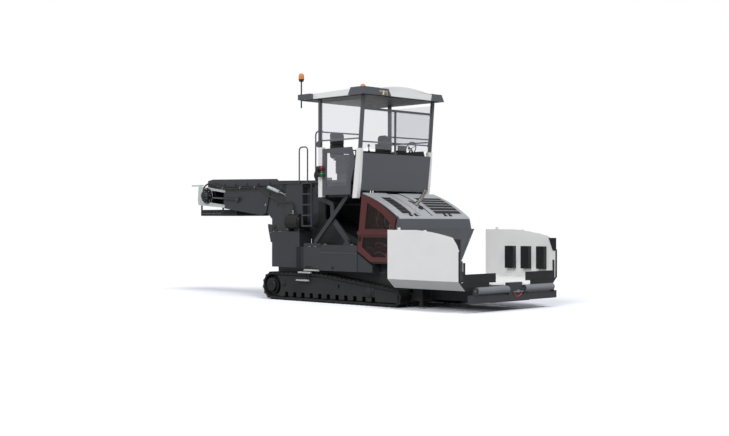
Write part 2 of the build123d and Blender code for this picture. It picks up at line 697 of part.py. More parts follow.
# Side plates of the trough with the pan under the belt, and the plate that closes the tail
with BuildPart() as conveyor_frame:
    tail_run_z = belt_z(RAIL_REAR_X) - TROUGH_PAN_DROP
    trough_points = [
        (HOPPER_REAR_X, RAIL_BOTTOM_Z),
        (HOPPER_REAR_X, BELT_TOP_Z + TROUGH_PAN_DROP / 2),
        (BELT_RAMP_X, BELT_TOP_Z + TROUGH_PAN_DROP),
        (SIDE_BOX_TOP_FRONT_X, belt_z(SIDE_BOX_TOP_FRONT_X) + TROUGH_PAN_DROP),
        (DECK_FRONT_X, belt_z(DECK_FRONT_X) + TROUGH_PAN_DROP),
        (DECK_FRONT_X, DECK_TOP_Z - DECK_THICKNESS),
        (DECK_REAR_X, DECK_TOP_Z - DECK_THICKNESS),
        (PIVOT_X + DRUM_RADIUS, BELT_HEAD_Z + DRUM_RADIUS),
        (PIVOT_X - DRUM_RADIUS, PIVOT_Z + DRUM_RADIUS),
        (PIVOT_X - DRUM_RADIUS, PIVOT_Z - DRUM_RADIUS),
        (TAIL_CORNER_X, TAIL_STEP_Z),
        (TAIL_CORNER_X, TAIL_BOTTOM_Z),
        (REAR_BOX_FRONT_X, TAIL_BOTTOM_Z),
        (BELT_RAMP_X, BELT_TOP_Z - TROUGH_PAN_DROP / 2),
        (BELT_RAMP_X + TROUGH_PAN_DROP, RAIL_BOTTOM_Z),
    ]
    for side in SIDES:
        plate_outline(trough_points, side * TROUGH_HALF_WIDTH, side * (TROUGH_HALF_WIDTH - TROUGH_PLATE))
    inner = TROUGH_HALF_WIDTH - TROUGH_PLATE
    pan_points = [
        (BELT_RAMP_X, BELT_TOP_Z - TROUGH_PAN_DROP),
        (TAIL_CORNER_X, belt_z(TAIL_CORNER_X) - 2 * TROUGH_PAN_DROP),
        (TAIL_CORNER_X, belt_z(TAIL_CORNER_X) - 2 * TROUGH_PAN_DROP - TROUGH_PLATE),
        (BELT_RAMP_X, BELT_TOP_Z - TROUGH_PAN_DROP - TROUGH_PLATE),
    ]
    plate_outline(pan_points, -inner, inner)
    block((TAIL_CORNER_X, TAIL_CORNER_X + TROUGH_PLATE), (-inner, inner), (TAIL_BOTTOM_Z, TAIL_STEP_Z))
    with Locations(Location((PIVOT_X, 0, PIVOT_Z), (90, 0, 0))):
        Cylinder(PIVOT_PIN_RADIUS + HINGE_BORE_GAP, 2 * RAIL_OUTER_Y, mode=Mode.SUBTRACT)
    with Locations(Location((BELT_HEAD_X, 0, BELT_HEAD_Z), (90, 0, 0))):
        Cylinder(DRUM_RADIUS - BELT_THICKNESS - PIN_GAP, 2 * BELT_HALF_WIDTH)
        Cylinder(HEAD_SHAFT_RADIUS, 2 * inner)
    for side in SIDES:
        base_face_y = side * TROUGH_HALF_WIDTH
        collar = CYLINDER_Y - CYLINDER_EYE_WIDTH / 2 - HOOD_LID_GAP - TROUGH_HALF_WIDTH
        for radius, reach in (
            (CYLINDER_PIN_RADIUS, collar + CYLINDER_EYE_WIDTH + 2 * HOOD_LID_GAP),
            (CYLINDER_EYE_RADIUS, collar),
        ):
            with BuildSketch(side_plane(base_face_y)):
                with Locations(CYLINDER_BASE_PIN):
                    Circle(radius)
            extrude(amount=-side * reach)
write(conveyor_frame, "conveyor_frame")


def belt_loop(points, half_width):
    """A closed belt round drums of one size, from their centres in side view."""
    with BuildPart() as belt:
        with BuildSketch(side_plane(-half_width)):
            for radius, mode in ((DRUM_RADIUS, Mode.ADD), (DRUM_RADIUS - BELT_THICKNESS, Mode.SUBTRACT)):
                with BuildSketch(mode=Mode.PRIVATE) as run:
                    for first, second in zip(points, points[1:]):
                        with BuildSketch(mode=Mode.PRIVATE) as span:
                            with Locations(first, second):
                                Circle(radius)
                            make_hull()
                        add(span.sketch)
                add(run.sketch, mode=mode)
        extrude(amount=-2 * half_width)
    return belt


drum_z = BELT_TOP_Z - DRUM_RADIUS
head = (BELT_HEAD_X, BELT_HEAD_Z)
belt_lower = belt_loop([(BELT_FRONT_X, drum_z), (BELT_RAMP_X, drum_z), head], BELT_HALF_WIDTH)
write(belt_lower, "belt_lower")

# Deck over the conveyor, with the cabinets that carry it
with BuildPart() as deck:
    block((DECK_REAR_X, DECK_FRONT_X), (-DECK_HALF_WIDTH, DECK_HALF_WIDTH), (DECK_TOP_Z - DECK_THICKNESS, DECK_TOP_Z))
    for side in SIDES:
        block((CABINET_REAR_X, CABINET_FRONT_X), spread(side, TROUGH_HALF_WIDTH, CABINET_OUTER_Y),
              (REAR_BOX_TOP_Z, DECK_TOP_Z - DECK_THICKNESS))
write(deck, "deck")

# Boxes over each track, with the tow plates at the tail and the tanks
with BuildPart() as rear_boxes:
    for side in SIDES:
        block((REAR_BOX_REAR_X, REAR_BOX_FRONT_X), spread(side, RAIL_INNER_Y, REAR_BOX_OUTER_Y),
              (BOX_BOTTOM_Z, REAR_BOX_TOP_Z))
        block((RAIL_REAR_X, REAR_BOX_FRONT_X), spread(side, RAIL_INNER_Y, RAIL_OUTER_Y),
              (RAIL_TOP_Z, BOX_BOTTOM_Z))
        tow_points = [
            (REAR_BOX_REAR_X, TOW_PLATE_BOTTOM_Z),
            (REAR_BOX_REAR_X - TOW_PLATE_REACH / 4, TOW_PLATE_BOTTOM_Z),
            (REAR_BOX_REAR_X - TOW_PLATE_REACH, TOW_PLATE_TOP_Z),
            (REAR_BOX_REAR_X - TOW_PLATE_REACH / 2, TOW_PLATE_TOP_Z),
            (REAR_BOX_REAR_X, REAR_BOX_TOP_Z),
        ]
        tow_y = side * (RAIL_OUTER_Y - TOW_PLATE_THICKNESS)
        plate_outline(tow_points, side * RAIL_OUTER_Y, tow_y)
        with Locations(Location((REAR_BOX_REAR_X - TOW_PLATE_REACH / 2, tow_y, (TOW_PLATE_TOP_Z + REAR_BOX_TOP_Z) / 2),
                                (90, 0, 0))):
            Cylinder(TOW_EYE_RADIUS, 3 * TOW_PLATE_THICKNESS, mode=Mode.SUBTRACT)
write(rear_boxes, "rear_boxes")

with BuildPart() as side_boxes:
    for side in SIDES:
        for rear_x, front_x, inset in (
            (REAR_BOX_FRONT_X, MIDDLE_BOX_SPLIT_X, MIDDLE_BOX_INSET),
            (MIDDLE_BOX_SPLIT_X, SIDE_BOX_REAR_X, MIDDLE_BOX_INSET / 2),
        ):
            block((rear_x, front_x), spread(side, RAIL_OUTER_Y - MIDDLE_BOX_INSET / 2, SIDE_BOX_OUTER_Y - inset),
                  (BOX_BOTTOM_Z, MIDDLE_BOX_TOP_Z))
        side_points = [
            (SIDE_BOX_REAR_X, SIDE_BOX_BOTTOM_Z),
            (SIDE_BOX_REAR_X, SIDE_BOX_TOP_Z),
            (SIDE_BOX_TOP_FRONT_X, SIDE_BOX_TOP_Z),
            (SIDE_BOX_TOP_FRONT_X, SIDE_BOX_CREASE_Z),
            (SIDE_BOX_FRONT_X, SIDE_BOX_NOSE_Z),
            (SIDE_BOX_FRONT_X, SIDE_BOX_BOTTOM_Z),
        ]
        plate_outline(side_points, side * (SIDE_BOX_OUTER_Y - SIDE_BOX_CREASE_DEPTH), side * RAIL_OUTER_Y)
        block((SIDE_BOX_REAR_X, SIDE_BOX_TOP_FRONT_X),
              spread(side, SIDE_BOX_OUTER_Y - SIDE_BOX_CREASE_DEPTH, SIDE_BOX_OUTER_Y),
              (SIDE_BOX_BOTTOM_Z, SIDE_BOX_CREASE_Z))
        block((REAR_BOX_FRONT_X, HOPPER_REAR_X - BULKHEAD_THICKNESS), spread(side, RAIL_INNER_Y, RAIL_OUTER_Y),
              (RAIL_TOP_Z, BOX_BOTTOM_Z))

# Ladders up to the deck, with their brackets
with BuildPart() as ladders:
    stile_xs = (LADDER_REAR_X, LADDER_REAR_X + LADDER_WIDTH - LADDER_STILE)
    ladder_y = (LADDER_Y - LADDER_DEPTH / 2, LADDER_Y + LADDER_DEPTH / 2)
    for side in SIDES:
        for stile_x in stile_xs:
            block((stile_x, stile_x + LADDER_STILE), spread(side, *ladder_y), (LADDER_BOTTOM_Z, LADDER_TOP_Z))
        for number in range(RUNG_COUNT):
            rung_z = LADDER_BOTTOM_Z + number * RUNG_PITCH
            block((LADDER_REAR_X + LADDER_STILE, LADDER_REAR_X + LADDER_WIDTH - LADDER_STILE),
                  spread(side, *ladder_y), (rung_z, rung_z + LADDER_STILE))
        bracket_z = LADDER_TOP_Z - DECK_THICKNESS
        block((stile_xs[0], stile_xs[0] + LADDER_STILE), spread(side, TROUGH_HALF_WIDTH, ladder_y[0]),
              (bracket_z - LADDER_STILE, bracket_z))
        block((stile_xs[0], stile_xs[0] + LADDER_STILE), spread(side, TROUGH_HALF_WIDTH, ladder_y[0]),
              (LADDER_BOTTOM_Z, LADDER_BOTTOM_Z + LADDER_STILE))
write(ladders, "ladders")

# Two-post grab loops, their posts against the side edges of the deck
with BuildPart() as deck_rails:
    post_y = DECK_HALF_WIDTH + RAIL_TUBE_RADIUS + PIN_GAP
    foot_z = DECK_TOP_Z - DECK_THICKNESS
    for side in SIDES:
        with BuildSketch(Plane((DECK_RAIL_X, side * post_y, foot_z))) as tube:
            Circle(RAIL_TUBE_RADIUS)
        with BuildLine() as loop:
            FilletPolyline(
                (DECK_RAIL_X, side * post_y, foot_z),
                (DECK_RAIL_X, side * post_y, DECK_RAIL_TOP_Z),
                (DECK_RAIL_X + DECK_RAIL_WIDTH, side * post_y, DECK_RAIL_TOP_Z),
                (DECK_RAIL_X + DECK_RAIL_WIDTH, side * post_y, foot_z),
                radius=DECK_RAIL_BEND,
            )
        sweep(tube.sketch, path=loop.line)
write(deck_rails, "deck_rails")

# Light-coloured step bars beside the track, hung from the boxes by two straps
with BuildPart() as steps:
    for side in SIDES:
        for step_x, step_length, step_z, step_y in STEPS:
            block((step_x, step_x + step_length), spread(side, step_y - STEP_WIDTH, step_y),
                  (step_z - STEP_THICKNESS, step_z))
        lowest = STEPS[-1]
        strap_y = lowest[3] - STEP_WIDTH + STEP_STRAP_THICKNESS / 2
        for strap_x in STEP_STRAP_XS:
            block((strap_x, strap_x + STEP_STRAP_WIDTH), spread(side, strap_y - STEP_STRAP_THICKNESS, strap_y),
                  (lowest[2] - STEP_THICKNESS, STEP_STRAP_TOP_Z))
            block((strap_x, strap_x + STEP_STRAP_WIDTH), spread(side, SIDE_BOX_OUTER_Y - MIDDLE_BOX_INSET / 2, strap_y),
                  (STEP_STRAP_TOP_Z - STEP_STRAP_THICKNESS, STEP_STRAP_TOP_Z))
write(steps, "steps")


def hood_band(y_span, x_span, drops):
    """Add a curved band under the hood's line, between two spans and two drops."""
    with BuildSketch(side_plane(y_span[0])) as band:
        with BuildLine():
            for drop in drops:
                ThreePointArc(
                    (HOOD_REAR_X, HOOD_REAR_Z - drop),
                    (HOOD_MIDDLE_X, HOOD_MIDDLE_Z - drop),
                    (HOOD_FRONT_X, HOOD_FRONT_Z - drop),
                )
            for x, z in ((HOOD_REAR_X, HOOD_REAR_Z), (HOOD_FRONT_X, HOOD_FRONT_Z)):
                Line((x, z - drops[0]), (x, z - drops[1]))
        make_face()
        with Locations(((x_span[0] + x_span[1]) / 2, HOOD_MIDDLE_Z)):
            Rectangle(x_span[1] - x_span[0], OVERALL_LENGTH, mode=Mode.INTERSECT)
    extrude(band.sketch, amount=y_span[0] - y_span[1])


# Fixed part of the engine bay: rear wall, floors, engine rails, ribs, sunk middle strip, front fold
with BuildPart() as engine_bay:
    block((BAY_WALL_X, BAY_WALL_X + BAY_WALL), (-BAY_OUTER_Y, BAY_OUTER_Y),
          (SIDE_BOX_TOP_Z, HOOD_REAR_Z - HOOD_RIB_DEPTH))
    block((BAY_WALL_X - OVERRUN, BAY_WALL_X + BAY_WALL + OVERRUN), (-RAIL_INNER_Y, RAIL_INNER_Y),
          (0, BAY_TUNNEL_Z), mode=Mode.SUBTRACT)
    for side in SIDES:
        block((SIDE_BOX_FRONT_X, HOPPER_REAR_X - BULKHEAD_THICKNESS), spread(side, RAIL_INNER_Y, RAIL_OUTER_Y),
              (BOX_BOTTOM_Z, BAY_FLOOR_Z))
        block((SIDE_BOX_FRONT_X, BAY_FLOOR_FRONT_X), spread(side, RAIL_OUTER_Y, BAY_OUTER_Y),
              (BAY_FLOOR_Z - BAY_WALL, BAY_FLOOR_Z))
        block((BAY_WALL_X, BAY_WALL_X + BAY_WALL), spread(side, RAIL_INNER_Y, RAIL_OUTER_Y),
              (SIDE_BOX_CREASE_Z, SIDE_BOX_TOP_Z))
        block((BAY_WALL_X + BAY_WALL, HOPPER_REAR_X - BULKHEAD_THICKNESS),
              spread(side, ENGINE_HALF_WIDTH - ENGINE_RAIL, ENGINE_HALF_WIDTH),
              (ENGINE_Z[0] - ENGINE_RAIL, ENGINE_Z[0]))
        hood_band(spread(side, BAY_OUTER_Y - HOOD_RIB_WIDTH, BAY_OUTER_Y), (BAY_WALL_X, HOOD_FRONT_X),
                  (HOOD_THICKNESS + HOOD_LID_GAP, HOOD_RIB_DEPTH + HOOD_THICKNESS))
        hood_band(spread(side, BAY_OUTER_Y - HOOD_RIB_WIDTH, BAY_OUTER_Y), (BAY_WALL_X, HOOD_SEAL_FRONT_X),
                  (HOOD_THICKNESS + HOOD_SEAL_GAP, HOOD_RIB_DEPTH))
        hood_band(spread(side, BAY_OUTER_Y - HOOD_RIB_WIDTH / 2, DOOR_FACE_Y - DOOR_THICKNESS - PIN_GAP),
                  (BAY_WALL_X, HOOD_SEAL_FRONT_X), (HOOD_RIB_DEPTH, HOOD_RIB_DEPTH + HOOD_THICKNESS))
    block((BAY_WALL_X + BAY_WALL, BAY_WALL_X + BAY_WALL + ENGINE_RAIL), (-RAIL_OUTER_Y, RAIL_OUTER_Y),
          (ENGINE_Z[0] - ENGINE_RAIL, ENGINE_Z[0]))
    block((BAY_WALL_X, BAY_WALL_X + BAY_WALL), HOOD_STRIP_Y, (BAY_TUNNEL_Z, HOOD_REAR_Z - HOOD_STRIP_DROP))
    hood_band(HOOD_STRIP_Y, (BAY_WALL_X, HOOD_FRONT_X), (HOOD_STRIP_DROP, HOOD_STRIP_DROP + HOOD_THICKNESS))
    for wall_y in HOOD_STRIP_Y:
        inward = HOOD_THICKNESS / 2 if wall_y == HOOD_STRIP_Y[0] else -HOOD_THICKNESS / 2
        hood_band((wall_y, wall_y + inward), (BAY_WALL_X, HOOD_FRONT_X), (0, HOOD_STRIP_DROP))
    fold_points = [
        (HOOD_LID_FRONT_X + HOOD_LID_GAP, HOOD_FRONT_Z + HOOD_LID_GAP),
        (HOOD_FRONT_X, HOOD_FRONT_Z),
        (HOOD_FOLD_X, HOOD_FOLD_Z),
        (HOPPER_REAR_X, BULKHEAD_TOP_Z),
        (HOPPER_REAR_X - BULKHEAD_THICKNESS, BULKHEAD_TOP_Z),
        (HOOD_FOLD_X - HOOD_THICKNESS, HOOD_FOLD_Z),
        (HOOD_LID_FRONT_X + HOOD_LID_GAP, HOOD_FRONT_Z - HOOD_THICKNESS),
    ]
    plate_outline(fold_points, -BAY_OUTER_Y, BAY_OUTER_Y)
write(engine_bay, "engine_bay")

# Rear wall of the hopper, narrow at the foot, with the seal bars along its slanted edges
with BuildPart() as bulkhead:
    with BuildSketch(Plane.YZ.offset(HOPPER_REAR_X - BULKHEAD_THICKNESS)) as wall:
        with BuildLine():
            Polyline(
                (-BULKHEAD_BOTTOM_HALF_WIDTH, BULKHEAD_BOTTOM_Z),
                (-BULKHEAD_TOP_HALF_WIDTH, BULKHEAD_TOP_Z),
                (BULKHEAD_TOP_HALF_WIDTH, BULKHEAD_TOP_Z),
                (BULKHEAD_BOTTOM_HALF_WIDTH, BULKHEAD_BOTTOM_Z),
                close=True,
            )
        make_face()
    extrude(amount=BULKHEAD_THICKNESS)
    for side in SIDES:
        with BuildSketch(Plane.YZ.offset(HOPPER_REAR_X)):
            with BuildLine():
                Polyline(
                    (side * BULKHEAD_BOTTOM_HALF_WIDTH, BULKHEAD_BOTTOM_Z),
                    (side * BULKHEAD_TOP_HALF_WIDTH, BULKHEAD_TOP_Z),
                    (side * (BULKHEAD_TOP_HALF_WIDTH - SEAL_BAR_WIDTH), BULKHEAD_TOP_Z),
                    (side * (BULKHEAD_BOTTOM_HALF_WIDTH - SEAL_BAR_WIDTH), BULKHEAD_BOTTOM_Z),
                    close=True,
                )
            make_face()
        extrude(amount=SEAL_BAR_THICKNESS)
    block((HOPPER_REAR_X - BULKHEAD_THICKNESS - OVERRUN, HOPPER_REAR_X + SEAL_BAR_THICKNESS + OVERRUN),
          (-TROUGH_HALF_WIDTH, TROUGH_HALF_WIDTH), (0, TUNNEL_TOP_Z), mode=Mode.SUBTRACT)
write(bulkhead, "bulkhead")

with BuildPart() as engine_block:
    block(ENGINE_X, (-ENGINE_HALF_WIDTH, ENGINE_HALF_WIDTH), ENGINE_Z)
write(engine_block, "engine_block")

# Bent exhaust pipe in the sunk strip, with the round cap beside it
with BuildPart() as exhaust:
    with BuildLine() as pipe_line:
        FilletPolyline(*[(x, EXHAUST_Y, z) for x, z in EXHAUST_PATH], radius=EXHAUST_BEND)
    with BuildSketch(Plane(origin=pipe_line.line @ 0, z_dir=pipe_line.line % 0)) as pipe_section:
        Circle(EXHAUST_RADIUS)
    sweep(pipe_section.sketch, path=pipe_line.line)
write(exhaust, "exhaust")


def hood_lid(y_span, louvre_y):
    """One lid of the hood, with a row of louvre slots."""
    cell = (LOUVRE_X[1] - LOUVRE_X[0] + LOUVRE_BAR) / LOUVRE_CELLS
    with BuildPart() as lid:
        hood_band(y_span, (HOOD_REAR_X, HOOD_LID_FRONT_X), (0, HOOD_THICKNESS))
        for number in range(LOUVRE_CELLS):
            slot_x = LOUVRE_X[0] + number * cell
            block((slot_x, slot_x + cell - LOUVRE_BAR), louvre_y, (HOOD_FOLD_Z, HOOD_REAR_Z), mode=Mode.SUBTRACT)
    return lid


hood_lid_right = hood_lid((-BAY_OUTER_Y, HOOD_STRIP_Y[0] - HOOD_LID_GAP), LOUVRE_RIGHT_Y)
write(hood_lid_right, "hood_lid_right")
hood_lid_left = hood_lid((HOOD_STRIP_Y[1] + HOOD_LID_GAP, BAY_OUTER_Y), LOUVRE_LEFT_Y)
write(hood_lid_left, "hood_lid_left")


def side_door(side):
    """Side door of the engine bay: a frame with two windows and a raised band between them."""
    with BuildPart() as door:
        with BuildSketch(side_plane(side * DOOR_FACE_Y)):
            with BuildLine():
                Polyline(*DOOR_POINTS)
                ThreePointArc(DOOR_POINTS[-1], DOOR_ARC_MIDDLE, DOOR_POINTS[0])
            make_face()
            for window in (DOOR_WINDOW_UPPER, DOOR_WINDOW_LOWER):
                with BuildLine():
                    Polyline(*window, close=True)
                make_face(mode=Mode.SUBTRACT)
        extrude(amount=side * DOOR_THICKNESS)
        block((DOOR_POINTS[1][0], DOOR_POINTS[-1][0] - MESH_LAP * 2),
              (side * DOOR_FACE_Y, side * (DOOR_FACE_Y + DOOR_BAND_HEIGHT)), DOOR_BAND_Z)
    return door


def door_mesh(side):
    """Sheets behind the door's windows."""
    inner_y = side * (DOOR_FACE_Y - DOOR_THICKNESS + MESH_THICKNESS)
    with BuildPart() as mesh:
        for window in (DOOR_WINDOW_UPPER, DOOR_WINDOW_LOWER):
            plate_outline(window, inner_y, side * (DOOR_FACE_Y - DOOR_THICKNESS))
    return mesh


def wing_side(side):
    """Side wing of the hopper: a bent sheet with a curved top edge, and its hinge barrels."""
    skin_y = WING_OUTER_Y - WING_THICKNESS
    bend_z = WING_HINGE_Z + WING_THICKNESS
    profile = [
        (side * WING_START_Y, WING_HINGE_Z),
        (side * WING_LOW_Y, WING_HINGE_Z),
        (side * WING_OUTER_Y, WING_KINK_Z),
        (side * WING_OUTER_Y, WING_TOP_Z),
        (side * skin_y, WING_TOP_Z),
        (side * skin_y, WING_KINK_Z + WING_THICKNESS / 2),
        (side * (WING_LOW_Y - WING_THICKNESS / 2), bend_z),
        (side * WING_START_Y, bend_z),
    ]
    with BuildPart() as wing:
        with BuildSketch(Plane.YZ.offset(WING_REAR_X)):
            with BuildLine():
                Polyline(*profile, close=True)
            make_face()
        extrude(amount=WING_FRAME_X - WING_REAR_X)
        with BuildSketch(side_plane(side * (WING_OUTER_Y + OVERRUN))):
            with BuildLine():
                ThreePointArc((WING_CURVE_X, WING_TOP_Z), WING_CURVE_MIDDLE, WING_CORNERS[0])
                Polyline(*WING_CORNERS)
                Polyline(WING_CORNERS[-1], (WING_FRONT_X, WING_CORNERS[-1][1]), (WING_FRONT_X, WING_TOP_Z + OVERRUN),
                         (WING_CURVE_X, WING_TOP_Z + OVERRUN), (WING_CURVE_X, WING_TOP_Z))
            make_face()
        extrude(amount=side * (WING_THICKNESS + 2 * OVERRUN), mode=Mode.SUBTRACT)
        for lug_x in WING_LUG_XS:
            block((lug_x, lug_x + WING_LUG_LENGTH), spread(side, skin_y, WING_OUTER_Y),
                  (WING_TOP_Z - WING_LUG_HEIGHT, WING_TOP_Z + WING_LUG_HEIGHT * (1 if lug_x < WING_CURVE_X else 0)))
        for barrel_x in HINGE_BARREL_XS:
            with Locations(Location((barrel_x, side * WING_HINGE_Y, WING_HINGE_Z), (0, 90, 0))):
                Cylinder(HINGE_RADIUS, HINGE_BARREL_LENGTH)
            block((barrel_x - HINGE_BARREL_LENGTH / 2, barrel_x + HINGE_BARREL_LENGTH / 2),
                  spread(side, WING_HINGE_Y + HINGE_RADIUS / 2, WING_START_Y + OVERRUN),
                  (WING_HINGE_Z, WING_HINGE_Z + HINGE_RADIUS / 2))
            with Locations(Location((barrel_x, side * WING_HINGE_Y, WING_HINGE_Z), (0, 90, 0))):
                Cylinder(HINGE_PIN_RADIUS + HINGE_BORE_GAP, HINGE_BARREL_LENGTH + OVERRUN, mode=Mode.SUBTRACT)
        for pad_x in PAD_XS:
            block(pad_x, spread(side, skin_y - PAD_DEPTH, skin_y), PAD_Z)
    return wing


def wing_frame_side(side):
    """Dark front frame of a wing: edge bar, corner gusset, and the lip that carries the apron."""
    skin_y = WING_OUTER_Y - WING_THICKNESS
    with BuildPart() as frame:
        with BuildSketch(Plane.YZ.offset(WING_FRAME_X)):
            with BuildLine():
                Polyline(
                    (side * WING_START_Y, WING_HINGE_Z),
                    (side * WING_LOW_Y, WING_HINGE_Z),
                    (side * WING_OUTER_Y, WING_KINK_Z),
                    (side * WING_OUTER_Y, WING_CORNERS[-1][1]),
                    (side * skin_y, WING_CORNERS[-1][1]),
                    (side * skin_y, WING_KINK_Z + WING_THICKNESS / 2),
                    (side * (skin_y - WING_THICKNESS - WING_THICKNESS / 2), LIP_TOP_Z),
                    (side * WING_START_Y, LIP_TOP_Z),
                    close=True,
                )
            make_face()
        extrude(amount=WING_FRONT_X - WING_FRAME_X)
        gusset = [
            (WING_CORNERS[0][0], WING_CORNERS[0][1] - WING_THICKNESS),
            (WING_FRONT_X, WING_CORNERS[0][1] - WING_THICKNESS),
            (WING_FRONT_X, WING_CORNERS[-1][1] - WING_THICKNESS),
            (WING_CORNERS[1][0], WING_CORNERS[-1][1] - WING_THICKNESS),
        ]
        plate_outline(gusset, side * skin_y, side * (skin_y - PAD_FACE))
    return frame


def apron_side(side):
    """Rubber apron across the front of a wing, with its upright flap at the outer end."""
    with BuildPart() as apron:
        block((WING_FRONT_X, WING_FRONT_X + APRON_THICKNESS), spread(side, WING_START_Y, APRON_OUTER_Y), APRON_Z)
        block((WING_FRONT_X, WING_FRONT_X + APRON_THICKNESS), spread(side, APRON_INNER_Y, WING_START_Y), APRON_Z)
        block((WING_FRONT_X, WING_FRONT_X + APRON_THICKNESS),
              spread(side, APRON_OUTER_Y - APRON_FLAP_WIDTH, APRON_OUTER_Y), (APRON_Z[1], APRON_FLAP_Z))
    return apron


def push_roller(side):
    """One push roller with its axle ends."""
    middle_y = side * (PUSH_ROLLER_Y[0] + PUSH_ROLLER_Y[1]) / 2
    length = PUSH_ROLLER_Y[1] - PUSH_ROLLER_Y[0]
    axle_length = length + 2 * (PUSH_BRACKET_GAP + PUSH_BRACKET)
    with BuildPart() as roller:
        with Locations(Location((ROLLER_AXIS_X, middle_y, ROLLER_AXIS_Z), (90, 0, 0))):
            Cylinder(PUSH_ROLLER_RADIUS, length)
            Cylinder(PUSH_AXLE_RADIUS - PUSH_AXLE_GAP, axle_length)
    return roller


with BuildPart() as push_beam:
    block(PUSH_BEAM_X, (-PUSH_BEAM_HALF_WIDTH, PUSH_BEAM_HALF_WIDTH), PUSH_BEAM_Z)
    block((PUSH_BEAM_X[0], PUSH_BEAM_X[1]), (-PUSH_PLATE_HALF_WIDTH, PUSH_PLATE_HALF_WIDTH),
          (PUSH_BEAM_Z[1], PUSH_PLATE_TOP_Z))
    for side in SIDES:
        for edge_y, way in ((PUSH_ROLLER_Y[0] - PUSH_BRACKET_GAP, -1), (PUSH_ROLLER_Y[1] + PUSH_BRACKET_GAP, 1)):
            block((PUSH_BEAM_X[0] + PUSH_BRACKET, ROLLER_AXIS_X + 2 * PUSH_AXLE_RADIUS),
                  (side * edge_y, side * (edge_y + way * PUSH_BRACKET)),
                  (PUSH_BEAM_Z[1] - PUSH_BRACKET, ROLLER_AXIS_Z + 2 * PUSH_AXLE_RADIUS))
            with Locations(Location((ROLLER_AXIS_X, side * edge_y, ROLLER_AXIS_Z), (90, 0, 0))):
                Cylinder(PUSH_AXLE_RADIUS, 3 * PUSH_BRACKET, mode=Mode.SUBTRACT)
    block((PUSH_BEAM_X[0] - OVERRUN, PUSH_TONGUE_FRONT_X + PUSH_SLOT_GAP),
          (-PUSH_TONGUE_HALF_WIDTH - 2 * PUSH_SLOT_GAP, PUSH_TONGUE_HALF_WIDTH + 2 * PUSH_SLOT_GAP),
          (PUSH_TONGUE_Z[0] - PUSH_SLOT_GAP, PUSH_TONGUE_Z[1] + PUSH_SLOT_GAP), mode=Mode.SUBTRACT)
    with Locations((PUSH_PIN_X, 0, (PUSH_BEAM_Z[0] + PUSH_BEAM_Z[1]) / 2)):
        Cylinder(PUSH_PIN_RADIUS - PUSH_AXLE_GAP, PUSH_BEAM_Z[1] - PUSH_BEAM_Z[0])
write(push_beam, "push_beam")

# Fixed floor of the hopper beside the belt, the front lip with its tongue, and the hinge pins
with BuildPart() as hopper_floor:
    for side in SIDES:
        block((HOPPER_REAR_X, HOPPER_FRONT_X - HOPPER_LIP_LENGTH),
              spread(side, HOPPER_BEAM_INNER_Y, WING_HINGE_Y - HINGE_RADIUS - HOOD_LID_GAP),
              (HOPPER_BEAM_TOP_Z, HOPPER_BEAM_TOP_Z + HOPPER_FLOOR_THICKNESS))
        for barrel_x in HINGE_BARREL_XS:
            with Locations(Location((barrel_x, side * WING_HINGE_Y, WING_HINGE_Z), (0, 90, 0))):
                Cylinder(HINGE_PIN_RADIUS, HINGE_BARREL_LENGTH + 4 * HINGE_RADIUS)
            for way in SIDES:
                ear_x = barrel_x + way * (HINGE_BARREL_LENGTH / 2 + HOOD_LID_GAP)
                block((ear_x, ear_x + way * HINGE_RADIUS),
                      spread(side, HOPPER_BEAM_INNER_Y + HOPPER_BEAM_WIDTH / 2, WING_HINGE_Y + HINGE_PIN_RADIUS),
                      (HOPPER_BEAM_TOP_Z, WING_HINGE_Z + HINGE_PIN_RADIUS))
    lip_half_width = HOPPER_BEAM_INNER_Y + HOPPER_BEAM_WIDTH
    block((HOPPER_FRONT_X - HOPPER_LIP_LENGTH, HOPPER_FRONT_X), (-lip_half_width, lip_half_width),
          (HOPPER_BEAM_BOTTOM_Z, BELT_TOP_Z - HOPPER_FLOOR_THICKNESS))
    block((HOPPER_FRONT_X - HOPPER_LIP_LENGTH, PUSH_TONGUE_FRONT_X), (-PUSH_TONGUE_HALF_WIDTH, PUSH_TONGUE_HALF_WIDTH),
          PUSH_TONGUE_Z)
    with Locations((PUSH_PIN_X, 0, PUSH_TONGUE_Z[0])):
        Cylinder(PUSH_PIN_RADIUS, PUSH_BEAM_Z[1], mode=Mode.SUBTRACT)
write(hopper_floor, "hopper_floor")

for side, hand in hands.items():
    write(side_door(side), f"door_{hand}")
    write(door_mesh(side), f"door_mesh_{hand}")
    write(wing_side(side), f"wing_{hand}")
    write(wing_frame_side(side), f"wing_frame_{hand}")
    write(apron_side(side), f"apron_{hand}")
    write(push_roller(side), f"push_roller_{hand}")

